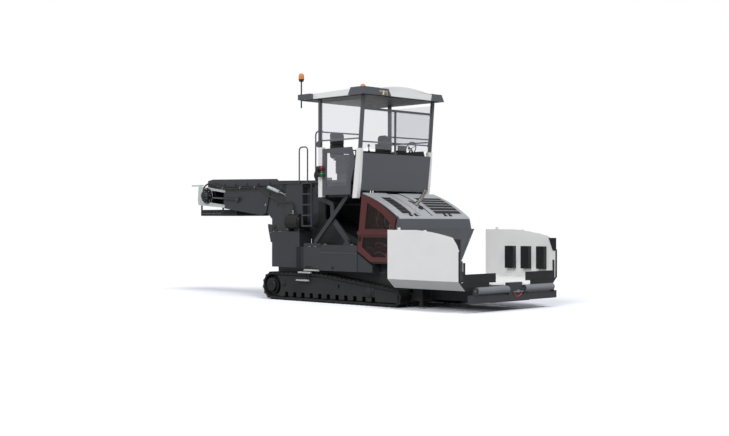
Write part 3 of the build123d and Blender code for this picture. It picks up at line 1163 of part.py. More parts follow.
# Floor of the platform: plate, two long beams and two cross members
with BuildPart() as platform_floor:
    block(FLOOR_X, (-FLOOR_HALF_WIDTH, FLOOR_HALF_WIDTH), (FLOOR_TOP_Z - FLOOR_THICKNESS, FLOOR_TOP_Z))
    for side in SIDES:
        block(FLOOR_BEAM_X, spread(side, *FLOOR_BEAM_Y), (FLOOR_BEAM_BOTTOM_Z, FLOOR_TOP_Z - FLOOR_THICKNESS))
        for pin_x in (ARM_FRONT_X - sqrt(ARM_LENGTH ** 2 - ARM_RISE ** 2), ARM_FRONT_X):
            block((max(pin_x - ARM_BRACKET_HALF_LENGTH, FLOOR_X[0]), pin_x + ARM_BRACKET_HALF_LENGTH),
                  spread(side, FLOOR_BEAM_Y[1] - OVERRUN, ARM_B_Y[1]),
                  (ARM_PIN_Z + ARM_RISE + ARM_EYE_RADIUS + PIN_GAP, FLOOR_TOP_Z - FLOOR_THICKNESS))
    for member_x in (FLOOR_BEAM_X[0], FLOOR_BEAM_X[1] - CROSS_MEMBER_LENGTH):
        block((member_x, member_x + CROSS_MEMBER_LENGTH), (-FLOOR_BEAM_Y[0], FLOOR_BEAM_Y[0]),
              (CROSS_MEMBER_BOTTOM_Z, FLOOR_TOP_Z - FLOOR_THICKNESS))

# Side panels with their windows
with BuildPart() as side_panels:
    for side in SIDES:
        plate_outline(PANEL_POINTS, side * PANEL_FACE_Y, side * (PANEL_FACE_Y - PANEL_THICKNESS))
        plate_outline(PANEL_WINDOW, side * (PANEL_FACE_Y + OVERRUN), side * (PANEL_FACE_Y - PANEL_THICKNESS - OVERRUN),
                      mode=Mode.SUBTRACT)
write(side_panels, "side_panels")

# White corner posts of the platform
with BuildPart() as corner_posts:
    for side in SIDES:
        post_y = spread(side, PANEL_FACE_Y - CORNER_POST_DEPTH, PANEL_FACE_Y)
        block(REAR_POST_X, post_y, REAR_POST_Z)
        block((REAR_POST_X[0], REAR_POST_X[1]), spread(side, FLOOR_BEAM_Y[1], PANEL_FACE_Y - CORNER_POST_DEPTH),
              (FLOOR_TOP_Z, FLOOR_TOP_Z + POST_SIZE))
        plate_outline(FRONT_POST_POINTS, side * PANEL_FACE_Y, side * (PANEL_FACE_Y - CORNER_POST_DEPTH))
write(corner_posts, "corner_posts")

# Front panel with its crease
with BuildPart() as front_panel:
    panel = list(FRONT_PANEL_POINTS)
    back = [(x - FRONT_PANEL_THICKNESS, z) for x, z in reversed(panel)]
    inner_half_width = PANEL_FACE_Y - CORNER_POST_DEPTH
    plate_outline(panel + back, -inner_half_width, inner_half_width)
write(front_panel, "front_panel")

# Upper posts with their hinge knuckles, header and mullion
with BuildPart() as roof_posts:
    for side in SIDES:
        block((UPPER_REAR_X - POST_SIZE / 2, UPPER_REAR_X + POST_SIZE / 2),
              spread(side, POST_Y - POST_SIZE / 2, POST_Y + POST_SIZE / 2), (REAR_POST_Z[1], ROOF_UNDERSIDE_Z))
        front_post = [
            (UPPER_FRONT_XS[0] - POST_SIZE / 2, UPPER_FOOT_Z),
            (UPPER_FRONT_XS[0] + POST_SIZE / 2, UPPER_FOOT_Z),
            (UPPER_FRONT_XS[1] + POST_SIZE / 2, ROOF_UNDERSIDE_Z),
            (UPPER_FRONT_XS[1] - POST_SIZE / 2, ROOF_UNDERSIDE_Z),
        ]
        plate_outline(front_post, side * (POST_Y + POST_SIZE / 2), side * (POST_Y - POST_SIZE / 2))
        with Locations(Location((UPPER_REAR_X - POST_SIZE / 2, side * POST_Y, KNUCKLE_Z), (90, 0, 0))):
            Cylinder(KNUCKLE_RADIUS, POST_SIZE)
    front_lean = (UPPER_FRONT_XS[1] - UPPER_FRONT_XS[0]) / (ROOF_UNDERSIDE_Z - UPPER_FOOT_Z)
    header_x = UPPER_FRONT_XS[0] + (HEADER_Z - UPPER_FOOT_Z) * front_lean
    block((header_x - HEADER_SIZE / 2, header_x + HEADER_SIZE / 2), (-POST_Y, POST_Y),
          (HEADER_Z - HEADER_SIZE / 2, HEADER_Z + HEADER_SIZE / 2))
    foot_x = FRONT_PANEL_POINTS[-1][0] - FRONT_PANEL_THICKNESS
    mullion_points = [
        (foot_x, FRONT_PANEL_POINTS[-1][1]),
        (foot_x + FRONT_PANEL_THICKNESS, FRONT_PANEL_POINTS[-1][1]),
        (header_x + FRONT_PANEL_THICKNESS / 2, HEADER_Z),
        (header_x - FRONT_PANEL_THICKNESS / 2, HEADER_Z),
    ]
    plate_outline(mullion_points, MULLION_Y - MULLION_WIDTH / 2, MULLION_Y + MULLION_WIDTH / 2)

# Glass between the posts and in the side panels
with BuildPart() as windows:
    for side in SIDES:
        lean = front_lean
        pane = [
            (UPPER_REAR_X + POST_SIZE / 2 + 1, SIDE_GLASS_Z[0]),
            (UPPER_FRONT_XS[0] - POST_SIZE / 2 + (SIDE_GLASS_Z[0] - UPPER_FOOT_Z) * lean, SIDE_GLASS_Z[0]),
            (UPPER_FRONT_XS[0] - POST_SIZE / 2 + (SIDE_GLASS_Z[1] - UPPER_FOOT_Z) * lean, SIDE_GLASS_Z[1]),
            (UPPER_REAR_X + POST_SIZE / 2 + 1, SIDE_GLASS_Z[1]),
        ]
        plate_outline(pane, side * (POST_Y + GLASS_THICKNESS), side * POST_Y)
        plate_outline(PANEL_WINDOW, side * (PANEL_FACE_Y - GLASS_LAP), side * (PANEL_FACE_Y - GLASS_LAP - GLASS_THICKNESS))
    for y_span in ((-POST_Y + POST_SIZE / 2, MULLION_Y - MULLION_WIDTH / 2), (MULLION_Y + MULLION_WIDTH / 2, POST_Y - POST_SIZE / 2)):
        glass_foot_x = UPPER_FRONT_XS[0] + (FRONT_GLASS_Z[0] - UPPER_FOOT_Z) * front_lean
        pane = [
            (glass_foot_x, FRONT_GLASS_Z[0]),
            (glass_foot_x + GLASS_THICKNESS, FRONT_GLASS_Z[0]),
            (header_x + GLASS_THICKNESS, FRONT_GLASS_Z[1]),
            (header_x, FRONT_GLASS_Z[1]),
        ]
        plate_outline(pane, *y_span)
write(windows, "windows")


def tube_path(points, bend):
    """Add a rail tube to the open part, bent round the corners of a path."""
    with BuildLine() as route:
        if len(points) > 2:
            FilletPolyline(*points, radius=bend)
        else:
            Line(*points)
    with BuildSketch(Plane(origin=route.line @ 0, z_dir=route.line % 0)) as section:
        Circle(RAIL_TUBE_RADIUS)
    sweep(section.sketch, path=route.line)


# Rails round the platform
with BuildPart() as platform_rails:
    for side in SIDES:
        inner_y = side * (POST_Y - POST_SIZE)
        seat_y = side * (POST_Y - POST_SIZE / 2)
        for rear_z, front_z in ((RAIL_TOP_REAR_Z, RAIL_TOP_FRONT_Z), (RAIL_MIDDLE_Z, RAIL_MIDDLE_Z)):
            front_x = UPPER_FRONT_XS[0] + (front_z - UPPER_FOOT_Z) * front_lean - POST_SIZE / 3
            tube_path([(UPPER_REAR_X, seat_y, rear_z), (UPPER_REAR_X, inner_y, rear_z),
                       (front_x, inner_y, front_z), (front_x, seat_y, front_z)], RAIL_RETURN_BEND)
        tube_path([(REAR_RAIL_X, side * REAR_RAIL_Y, FLOOR_TOP_Z),
                   (REAR_RAIL_X, side * REAR_RAIL_Y, REAR_RAIL_TOP_Z),
                   (UPPER_REAR_X - POST_SIZE / 2, side * REAR_RAIL_Y, REAR_RAIL_TOP_Z)], DECK_RAIL_BEND)
write(platform_rails, "platform_rails")

# Crowned roof skin
with BuildPart() as roof:
    with BuildSketch(Plane.YZ.offset(ROOF_X[0])) as crown:
        with BuildLine():
            ThreePointArc((-ROOF_HALF_WIDTH, ROOF_EDGE_Z), (0, ROOF_CROWN_Z), (ROOF_HALF_WIDTH, ROOF_EDGE_Z))
            Line((ROOF_HALF_WIDTH, ROOF_EDGE_Z), (ROOF_HALF_WIDTH, ROOF_EDGE_Z - ROOF_SKIN))
            ThreePointArc((ROOF_HALF_WIDTH, ROOF_EDGE_Z - ROOF_SKIN), (0, ROOF_CROWN_Z - ROOF_SKIN),
                          (-ROOF_HALF_WIDTH, ROOF_EDGE_Z - ROOF_SKIN))
            Line((-ROOF_HALF_WIDTH, ROOF_EDGE_Z - ROOF_SKIN), (-ROOF_HALF_WIDTH, ROOF_EDGE_Z))
        make_face()
    extrude(amount=ROOF_X[1] - ROOF_X[0])
write(roof, "roof")

# Frame under the roof
with BuildPart() as roof_frame:
    frame_top_z = ROOF_EDGE_Z - ROOF_SKIN
    block(ROOF_X, (-ROOF_HALF_WIDTH, ROOF_HALF_WIDTH), (ROOF_UNDERSIDE_Z, frame_top_z))
    block((ROOF_X[0] + ROOF_FRAME_WIDTH, ROOF_X[1] - ROOF_FRAME_WIDTH),
          (-ROOF_HALF_WIDTH + ROOF_FRAME_WIDTH * 2, ROOF_HALF_WIDTH - ROOF_FRAME_WIDTH * 2),
          (ROOF_UNDERSIDE_Z - OVERRUN, frame_top_z + OVERRUN), mode=Mode.SUBTRACT)
    bay = (ROOF_X[1] - ROOF_X[0]) / (ROOF_BEAM_COUNT + 1)
    for number in range(ROOF_BEAM_COUNT):
        beam_x = ROOF_X[0] + (number + 1) * bay
        block((beam_x - ROOF_FRAME_WIDTH / 2, beam_x + ROOF_FRAME_WIDTH / 2),
              (-ROOF_HALF_WIDTH + ROOF_FRAME_WIDTH, ROOF_HALF_WIDTH - ROOF_FRAME_WIDTH),
              (ROOF_UNDERSIDE_Z, frame_top_z))
with BuildPart() as roof_structure:
    add(roof_posts.part)
    add(roof_frame.part)
write(roof_structure, "roof_posts")

# Scissor arms, a pair on each side; the first pair turns on the chassis, the second on the first
arm_angle = asin(ARM_RISE / ARM_LENGTH)
arm_reach = ARM_LENGTH * cos(arm_angle)
arm_rear_x = ARM_FRONT_X - arm_reach
arm_top_z = ARM_PIN_Z + ARM_RISE
cross_x = ARM_FRONT_X - arm_reach / 2
cross_z = ARM_PIN_Z + ARM_RISE / 2
with BuildPart() as scissor_arms_a:
    for side in SIDES:
        with BuildSketch(side_plane(side * ARM_A_Y[1])) as arm:
            for ends in (
                ((ARM_FRONT_X, ARM_PIN_Z, ARM_A_FOOT_WIDTH / 2), (cross_x, cross_z, ARM_A_FOOT_WIDTH / 2)),
                ((cross_x, cross_z, ARM_A_FOOT_WIDTH / 2), (cross_x - ARM_WIDTH / 4, arm_top_z - 2 * ARM_NECK_RISE / 2, ARM_WIDTH / 2)),
                ((cross_x - ARM_WIDTH / 4, arm_top_z - 2 * ARM_NECK_RISE / 2, ARM_WIDTH / 2), (arm_rear_x, arm_top_z, ARM_EYE_RADIUS)),
            ):
                with BuildSketch(mode=Mode.PRIVATE) as span:
                    for x, z, radius in ends:
                        with Locations((x, z)):
                            Circle(radius)
                    make_hull()
                add(span.sketch)
            with Locations((ARM_FRONT_X, ARM_PIN_Z), (cross_x, cross_z)):
                Circle(ARM_PIN_RADIUS + HINGE_BORE_GAP, mode=Mode.SUBTRACT)
        extrude(amount=side * (ARM_A_Y[1] - ARM_A_Y[0]))
    with Locations(Location((cross_x - ARM_WIDTH / 4, 0, arm_top_z - ARM_NECK_RISE), (90, 0, 0))):
        Cylinder(ARM_CROSS_RADIUS, 2 * ARM_A_Y[0])
write(scissor_arms_a, "scissor_arms_a")

with BuildPart() as scissor_arms_b:
    for side in SIDES:
        with BuildSketch(side_plane(side * ARM_B_Y[1])) as arm:
            with BuildSketch(mode=Mode.PRIVATE) as span:
                with Locations((arm_rear_x, ARM_PIN_Z), (ARM_FRONT_X, arm_top_z)):
                    Circle(ARM_WIDTH / 2)
                make_hull()
            add(span.sketch)
        extrude(amount=side * (ARM_B_Y[1] - ARM_B_Y[0]))
        with Locations(Location((cross_x, side * (ARM_A_Y[0] + ARM_B_Y[1]) / 2, cross_z), (90, 0, 0))):
            Cylinder(ARM_PIN_RADIUS, ARM_B_Y[1] - ARM_A_Y[0])
write(scissor_arms_b, "scissor_arms_b")

# Brackets on the boxes that hold the lower pins, and the rails that the sliding ends run along
with BuildPart() as fitted_side_boxes:
    add(side_boxes.part)
    for side in SIDES:
        for y_span in ((ARM_A_Y[0] - ARM_CROSS_RADIUS, ARM_A_Y[0] - HOOD_LID_GAP), (ARM_A_Y[1] + HOOD_LID_GAP, ARM_B_Y[1])):
            with BuildSketch(side_plane(side * y_span[1])):
                with BuildLine():
                    Polyline(
                        (ARM_FRONT_X - ARM_EYE_RADIUS, ARM_PIN_Z),
                        (ARM_FRONT_X + ARM_EYE_RADIUS, ARM_PIN_Z),
                        (ARM_FRONT_X + ARM_A_FOOT_WIDTH, SIDE_BOX_TOP_Z),
                        (ARM_FRONT_X - ARM_A_FOOT_WIDTH, SIDE_BOX_TOP_Z),
                        close=True,
                    )
                make_face()
                with Locations((ARM_FRONT_X, ARM_PIN_Z)):
                    Circle(ARM_EYE_RADIUS)
            extrude(amount=side * (y_span[1] - y_span[0]))
        with Locations(Location((ARM_FRONT_X, side * (ARM_A_Y[0] + ARM_B_Y[1] - ARM_CROSS_RADIUS) / 2, ARM_PIN_Z), (90, 0, 0))):
            Cylinder(ARM_PIN_RADIUS, ARM_B_Y[1] - ARM_A_Y[0] + ARM_CROSS_RADIUS)
        block(SLIDE_RAIL_X, spread(side, *ARM_B_Y), (MIDDLE_BOX_TOP_Z, ARM_PIN_Z - ARM_WIDTH / 2 - PIN_GAP))
write(fitted_side_boxes, "side_boxes")

# Grey pods on the roof's corners; the right front one is long and has the recess for the work lamps
with BuildPart() as roof_pods:
    for y_outer, y_inner, x_rear, x_front, top_z in (
        (-POD_OUTER_Y, -POD_RIGHT_INNER_Y, POD_FRONT_X - POD_RIGHT_LENGTH, POD_FRONT_X, POD_TOP_Z),
        (POD_OUTER_Y, POD_LEFT_INNER_Y, POD_FRONT_X - POD_LEFT_LENGTH, POD_FRONT_X, POD_TOP_Z),
    ):
        with BuildSketch(Plane.XY.offset(POD_BOTTOM_Z)) as foot:
            with Locations(((x_rear + x_front) / 2, (y_outer + y_inner) / 2)):
                Rectangle(x_front - x_rear, abs(y_outer - y_inner))
        extrude(amount=top_z - POD_BOTTOM_Z, taper=POD_TAPER)
    block((POD_FRONT_X - POD_RECESS_DEPTH, POD_FRONT_X + OVERRUN), POD_RECESS_Y, POD_RECESS_Z, mode=Mode.SUBTRACT)
    for side in SIDES:
        block((ROOF_X[0], ROOF_X[0] + POD_REAR_LENGTH), spread(side, POD_REAR_INNER_Y, POD_OUTER_Y),
              (POD_BOTTOM_Z, POD_REAR_TOP_Z))
    with BuildSketch(Plane.YZ.offset(ROOF_X[0] - OVERRUN)):
        with BuildLine():
            ThreePointArc((-ROOF_HALF_WIDTH, ROOF_EDGE_Z), (0, ROOF_CROWN_Z), (ROOF_HALF_WIDTH, ROOF_EDGE_Z))
            Polyline((ROOF_HALF_WIDTH, ROOF_EDGE_Z), (ROOF_HALF_WIDTH, POD_BOTTOM_Z - OVERRUN),
                     (-ROOF_HALF_WIDTH, POD_BOTTOM_Z - OVERRUN), (-ROOF_HALF_WIDTH, ROOF_EDGE_Z))
        make_face()
    extrude(amount=ROOF_X[1] - ROOF_X[0] + OVERRUN, mode=Mode.SUBTRACT)
write(roof_pods, "roof_pods")

# Amber beacons: one on its mast behind the roof, one on the crown
with BuildPart() as beacons:
    with Locations((MAST_X, MAST_Y, (MAST_Z[0] + MAST_Z[1]) / 2)):
        Cylinder(MAST_RADIUS, MAST_Z[1] - MAST_Z[0])
    block((MAST_X, ROOF_X[0]), (MAST_Y - MAST_RADIUS, MAST_Y + MAST_RADIUS), MAST_BRACKET_Z)
    for x, y, z in ((MAST_X, MAST_Y, MAST_Z[1]), (ROOF_BEACON_X, 0, ROOF_CROWN_Z - OVERRUN)):
        with Locations((x, y, z + BEACON_BASE_HEIGHT / 2)):
            Cylinder(BEACON_RADIUS * 2 / 3, BEACON_BASE_HEIGHT)
        with Locations((x, y, z + BEACON_BASE_HEIGHT + (BEACON_HEIGHT - BEACON_BASE_HEIGHT) / 2)):
            Cylinder(BEACON_RADIUS, BEACON_HEIGHT - BEACON_BASE_HEIGHT)
    add(roof.part, mode=Mode.SUBTRACT)
write(beacons, "beacons")

# Seats on pedestals, consoles on legs
with BuildPart() as fitted_floor:
    add(platform_floor.part)
    for side in SIDES:
        block((SEAT_X + PEDESTAL_SIZE / 3, SEAT_X + PEDESTAL_SIZE * 4 / 3),
              spread(side, SEAT_Y - PEDESTAL_SIZE / 2, SEAT_Y + PEDESTAL_SIZE / 2), (FLOOR_TOP_Z, SEAT_CUSHION_Z[0]))
write(fitted_floor, "platform_floor")
for side, hand in hands.items():
    with BuildPart() as seat:
        seat_y = spread(side, SEAT_Y - SEAT_WIDTH / 2, SEAT_Y + SEAT_WIDTH / 2)
        block((SEAT_X, SEAT_X + SEAT_LENGTH), seat_y, SEAT_CUSHION_Z)
        block((SEAT_X - SEAT_BACK_THICKNESS, SEAT_X), seat_y, (SEAT_CUSHION_Z[0], SEAT_BACK_TOP_Z))
    write(seat, f"seat_{hand}")
with BuildPart() as consoles:
    for side in SIDES:
        block(CONSOLE_X, spread(side, *CONSOLE_Y), CONSOLE_Z)
        block((CONSOLE_X[0], CONSOLE_X[0] + CONSOLE_LEG_WIDTH),
              spread(side, SEAT_Y - CONSOLE_LEG_WIDTH / 2, SEAT_Y + CONSOLE_LEG_WIDTH / 2), (FLOOR_TOP_Z, CONSOLE_Z[0]))
write(consoles, "consoles")
with BuildPart() as signal_lamps:
    for lamp_z in LAMP_ZS:
        with Locations(Location((LAMP_X, LAMP_Y, lamp_z), (0, 90, 0))):
            Cylinder(LAMP_RADIUS, LAMP_LENGTH)
    block((REAR_POST_X[0] + CORNER_POST_DEPTH / 2, REAR_POST_X[1] - CORNER_POST_DEPTH / 2),
          (LAMP_Y, -PANEL_FACE_Y), (LAMP_ZS[1] - MAST_RADIUS, LAMP_ZS[0] + MAST_RADIUS))
write(signal_lamps, "signal_lamps")

# Discharge boom: side plates with a flange and gussets, and a pan under the belt
boom_outline = list(BOOM_FRONT_POINTS) + list(BOOM_REAR_POINTS)
with BuildPart() as boom_frame:
    for side in SIDES:
        plate_outline(boom_outline, side * (BOOM_PLATE_Y + BOOM_PLATE), side * BOOM_PLATE_Y)
        block(FLANGE_X, spread(side, BOOM_PLATE_Y + BOOM_PLATE, BOOM_PLATE_Y + BOOM_PLATE + FLANGE_WIDTH),
              (FLANGE_Z, FLANGE_Z + BOOM_PLATE))
        gusset_pitch = (FLANGE_X[1] - FLANGE_X[0]) / GUSSET_COUNT
        for number in range(GUSSET_COUNT):
            gusset_x = FLANGE_X[0] + (number + 1 / 2) * gusset_pitch
            with BuildSketch(Plane.YZ.offset(gusset_x)):
                with BuildLine():
                    Polyline(
                        (side * (BOOM_PLATE_Y + BOOM_PLATE), FLANGE_Z + BOOM_PLATE),
                        (side * (BOOM_PLATE_Y + BOOM_PLATE + FLANGE_WIDTH), FLANGE_Z + BOOM_PLATE),
                        (side * (BOOM_PLATE_Y + BOOM_PLATE), FLANGE_Z + BOOM_PLATE + GUSSET_HEIGHT),
                        close=True,
                    )
                make_face()
            extrude(amount=GUSSET_THICKNESS)
        with Locations(Location((PIVOT_X, side * (TROUGH_HALF_WIDTH - TROUGH_PLATE / 2), PIVOT_Z), (90, 0, 0))):
            Cylinder(PIVOT_PIN_RADIUS, 2 * (BOOM_PLATE_Y + BOOM_PLATE - TROUGH_HALF_WIDTH + TROUGH_PLATE / 2) - BOOM_PLATE / 2)
        reach = CYLINDER_Y + CYLINDER_EYE_WIDTH / 2 + HOOD_LID_GAP - BOOM_PLATE_Y - BOOM_PLATE
        with BuildSketch(side_plane(side * (BOOM_PLATE_Y + BOOM_PLATE))):
            with Locations(CYLINDER_BOOM_PIN):
                Circle(CYLINDER_PIN_RADIUS)
        extrude(amount=-side * reach)
    pan_rear = BOOM_REAR_POINTS[0]
    pan_front_z = BOOM_FRONT_POINTS[-1][1]
    pan_points = [
        (BOOM_PAN_FRONT_X, pan_front_z + BOOM_PAN_RISE),
        (pan_rear[0], pan_rear[1] + BOOM_PAN_RISE),
        (pan_rear[0], pan_rear[1] + BOOM_PAN_RISE - BOOM_PAN_THICKNESS),
        (BOOM_PAN_FRONT_X, pan_front_z + BOOM_PAN_RISE - BOOM_PAN_THICKNESS),
    ]
    plate_outline(pan_points, -BOOM_PLATE_Y, BOOM_PLATE_Y)
write(boom_frame, "boom_frame")

with BuildPart() as belt_upper:
    with BuildSketch(side_plane(-BELT_HALF_WIDTH)):
        for inset, mode in ((0, Mode.ADD), (BELT_THICKNESS, Mode.SUBTRACT)):
            with BuildSketch(mode=Mode.PRIVATE) as run:
                with Locations((PIVOT_X, PIVOT_Z)):
                    Circle(DRUM_RADIUS - inset)
                with Locations((HEAD_DRUM_X, HEAD_DRUM_Z)):
                    Circle(HEAD_DRUM_RADIUS + BELT_THICKNESS - inset)
                make_hull()
            add(run.sketch, mode=mode)
    extrude(amount=-2 * BELT_HALF_WIDTH)
write(belt_upper, "belt_upper")

# Drive drum of the boom with its shaft and the two motors
with BuildPart() as drive_drum:
    with Locations(Location((HEAD_DRUM_X, 0, HEAD_DRUM_Z), (90, 0, 0))):
        Cylinder(HEAD_DRUM_RADIUS - PIN_GAP, 2 * HEAD_DRUM_HALF_WIDTH)
        Cylinder(HEAD_SHAFT_RADIUS, 2 * (BOOM_PLATE_Y + BOOM_PLATE))
    for side in SIDES:
        with BuildSketch(side_plane(side * MOTOR_FACE_Y)):
            with Locations((HEAD_DRUM_X, HEAD_DRUM_Z)):
                Circle(MOTOR_RADIUS)
        extrude(amount=side * (MOTOR_FACE_Y - BOOM_PLATE_Y))
        flange_y = BOOM_PLATE_Y + BOOM_PLATE + BRACKET_THICKNESS
        with BuildSketch(side_plane(side * (flange_y + MOTOR_FLANGE_THICKNESS))):
            with Locations((HEAD_DRUM_X, HEAD_DRUM_Z)):
                Circle(MOTOR_FLANGE_RADIUS)
        extrude(amount=side * MOTOR_FLANGE_THICKNESS)
write(drive_drum, "drive_drum")

# Light forked plates that carry the drive drum, with the nose bars
with BuildPart() as boom_forks:
    for side in SIDES:
        with BuildSketch(side_plane(side * (BOOM_PLATE_Y + BOOM_PLATE + BRACKET_THICKNESS))):
            with BuildLine():
                Polyline(*(list(BRACKET_OUTER) + list(BRACKET_UPPER) + list(BRACKET_LOWER)), close=True)
            make_face()
            for x, z in (BRACKET_OUTER[0], BRACKET_OUTER[-1]):
                with Locations((x + BRACKET_LAP / 2, z + (BRACKET_LAP / 2 if x == BRACKET_OUTER[0][0] else -BRACKET_LAP / 2))):
                    Rectangle(BRACKET_LAP, BRACKET_LAP)
            with Locations((HEAD_DRUM_X, HEAD_DRUM_Z)):
                Circle(MOTOR_FLANGE_RADIUS)
                Circle(MOTOR_RADIUS, mode=Mode.SUBTRACT)
        extrude(amount=side * BRACKET_THICKNESS)
        block((REAR_X, REAR_X + NOSE_LENGTH), spread(side, BOOM_PLATE_Y + BOOM_PLATE - NOSE_WIDTH, BOOM_PLATE_Y + BOOM_PLATE),
              (NOSE_Z - NOSE_HEIGHT / 2, NOSE_Z + NOSE_HEIGHT / 2))
        block((REAR_X + NOSE_LENGTH - NOSE_WIDTH * 2, REAR_X + NOSE_LENGTH),
              spread(side, BOOM_PLATE_Y, BOOM_PLATE_Y + BOOM_PLATE), (NOSE_Z - 2 * NOSE_WIDTH, NOSE_Z))
write(boom_forks, "boom_forks")

# Tray under the boom's head, on four hangers
with BuildPart() as boom_tray:
    block(TRAY_X, (-TRAY_HALF_WIDTH, TRAY_HALF_WIDTH), TRAY_Z)
    for side in SIDES:
        for hanger_x, plate_y, top_z in (
            (HANGER_XS[0], BOOM_PLATE_Y + BOOM_PLATE, BRACKET_LOWER[0][1]),
            (HANGER_XS[1], BOOM_PLATE_Y, BRACKET_LOWER[1][1]),
        ):
            block((hanger_x, hanger_x + HANGER_LENGTH), spread(side, plate_y - BOOM_PLATE, plate_y), (TRAY_Z[0], top_z))
            block((hanger_x, hanger_x + HANGER_LENGTH), spread(side, TRAY_HALF_WIDTH, plate_y), (TRAY_Z[0], TRAY_Z[0] + BOOM_PLATE))
write(boom_tray, "boom_tray")

# Cylinders that hold the boom, one on each side: barrel on the boom, rod towards the base
cylinder_run = (CYLINDER_BASE_PIN[0] - CYLINDER_BOOM_PIN[0], CYLINDER_BASE_PIN[1] - CYLINDER_BOOM_PIN[1])
cylinder_length = sqrt(cylinder_run[0] ** 2 + cylinder_run[1] ** 2)
cylinder_tilt = degrees(atan2(cylinder_run[1], cylinder_run[0]))


def along_cylinder(distance, side):
    """Plane across a boom cylinder at a distance from its upper pin, facing along it."""
    share = distance / cylinder_length
    origin = (CYLINDER_BOOM_PIN[0] + share * cylinder_run[0], side * CYLINDER_Y, CYLINDER_BOOM_PIN[1] + share * cylinder_run[1])
    return Plane(origin=origin, z_dir=(cylinder_run[0], 0, cylinder_run[1]))


with BuildPart() as boom_barrels:
    for side in SIDES:
        with BuildSketch(along_cylinder(CYLINDER_EYE_RADIUS / 2, side)):
            Circle(BARREL_RADIUS)
        extrude(amount=BARREL_LENGTH)
        with Locations(Location((CYLINDER_BOOM_PIN[0], side * CYLINDER_Y, CYLINDER_BOOM_PIN[1]), (90, 0, 0))):
            Cylinder(CYLINDER_EYE_RADIUS, CYLINDER_EYE_WIDTH)
            Cylinder(CYLINDER_PIN_RADIUS + HINGE_BORE_GAP, 2 * CYLINDER_EYE_WIDTH, mode=Mode.SUBTRACT)
        with BuildSketch(along_cylinder(BARREL_LENGTH - ROD_INSERT, side)):
            Circle(ROD_RADIUS + HINGE_BORE_GAP)
        extrude(amount=ROD_INSERT + BARREL_RADIUS, mode=Mode.SUBTRACT)
write(boom_barrels, "boom_barrels")

with BuildPart() as boom_rods:
    for side in SIDES:
        with BuildSketch(along_cylinder(BARREL_LENGTH - ROD_INSERT + ROD_CLEARANCE, side)):
            Circle(ROD_RADIUS)
        extrude(amount=cylinder_length - BARREL_LENGTH + ROD_INSERT - ROD_CLEARANCE)
        with Locations(Location((CYLINDER_BASE_PIN[0], side * CYLINDER_Y, CYLINDER_BASE_PIN[1]), (90, 0, 0))):
            Cylinder(CYLINDER_EYE_RADIUS, CYLINDER_EYE_WIDTH)
            Cylinder(CYLINDER_PIN_RADIUS + ROD_EYE_GAP, 2 * CYLINDER_EYE_WIDTH, mode=Mode.SUBTRACT)
write(boom_rods, "boom_rods")
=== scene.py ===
import math

import bmesh
import bpy
import numpy as np
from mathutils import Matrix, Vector


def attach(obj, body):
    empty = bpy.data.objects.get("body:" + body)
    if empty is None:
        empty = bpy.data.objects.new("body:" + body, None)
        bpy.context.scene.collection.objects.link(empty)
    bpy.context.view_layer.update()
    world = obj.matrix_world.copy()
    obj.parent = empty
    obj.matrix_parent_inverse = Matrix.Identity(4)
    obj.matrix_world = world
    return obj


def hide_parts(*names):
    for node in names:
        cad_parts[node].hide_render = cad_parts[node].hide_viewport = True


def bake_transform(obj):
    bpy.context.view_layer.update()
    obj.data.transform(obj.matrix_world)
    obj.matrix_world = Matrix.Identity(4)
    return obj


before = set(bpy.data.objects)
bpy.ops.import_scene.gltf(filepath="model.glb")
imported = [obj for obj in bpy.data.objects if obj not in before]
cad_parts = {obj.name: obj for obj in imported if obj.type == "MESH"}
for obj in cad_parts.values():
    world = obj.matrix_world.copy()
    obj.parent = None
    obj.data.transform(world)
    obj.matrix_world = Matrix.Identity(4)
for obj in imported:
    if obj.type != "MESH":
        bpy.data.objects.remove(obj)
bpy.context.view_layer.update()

# The camera. It stands at eye height, in front of the machine's right side, and
# looks level along the diagonal, as a catalogue picture is taken.
PHOTO_LENS = 57.56
SENSOR_WIDTH = 36
VIEW_REACH = 500
CAMERA_PLACE = (20.620, -20.176, 1.9006)
CAMERA_YAW = math.radians(45.3086)
CAMERA_PITCH = math.radians(0.218)
camera_data = bpy.data.cameras.new("camera")
camera_data.lens = PHOTO_LENS
camera_data.sensor_width = SENSOR_WIDTH
camera_data.clip_end = VIEW_REACH
camera = bpy.data.objects.new("camera", camera_data)
bpy.context.collection.objects.link(camera)
camera.location = CAMERA_PLACE
look = Vector((
    -math.cos(CAMERA_YAW) * math.cos(CAMERA_PITCH),
    math.sin(CAMERA_YAW) * math.cos(CAMERA_PITCH),
    math.sin(CAMERA_PITCH),
))
camera.rotation_euler = look.to_track_quat("-Z", "Y").to_euler()
bpy.context.scene.camera = camera
bpy.context.scene.view_settings.view_transform = "Standard"


def linear(hex_colour):
    """Turns an sRGB hex colour into linear red, green, blue and a full alpha."""
    parts = [int(hex_colour[i:i + 2], 16) / 255 for i in (1, 3, 5)]
    return tuple(c / 12.92 if c <= 0.04045 else ((c + 0.055) / 1.055) ** 2.4 for c in parts) + (1.0,)


def add_node(tree, kind, values=None, **settings):
    """Adds one node: its settings first, then a value or a link for each named input."""
    node = tree.nodes.new(kind)
    for name, value in settings.items():
        setattr(node, name, value)
    for name, value in (values or {}).items():
        if isinstance(value, bpy.types.NodeSocket):
            tree.links.new(value, node.inputs[name])
        else:
            node.inputs[name].default_value = value
    return node


def compute(tree, operation, *values):
    """The result of one arithmetic node."""
    return add_node(tree, "ShaderNodeMath", dict(enumerate(values)), operation=operation).outputs["Value"]


def ranged(tree, value, from_span, to_span=(0.0, 1.0), **settings):
    """A value moved from one range into another, and held within it."""
    return add_node(tree, "ShaderNodeMapRange", {
        "Value": value, "From Min": from_span[0], "From Max": from_span[1],
        "To Min": to_span[0], "To Max": to_span[1],
    }, **settings).outputs["Result"]


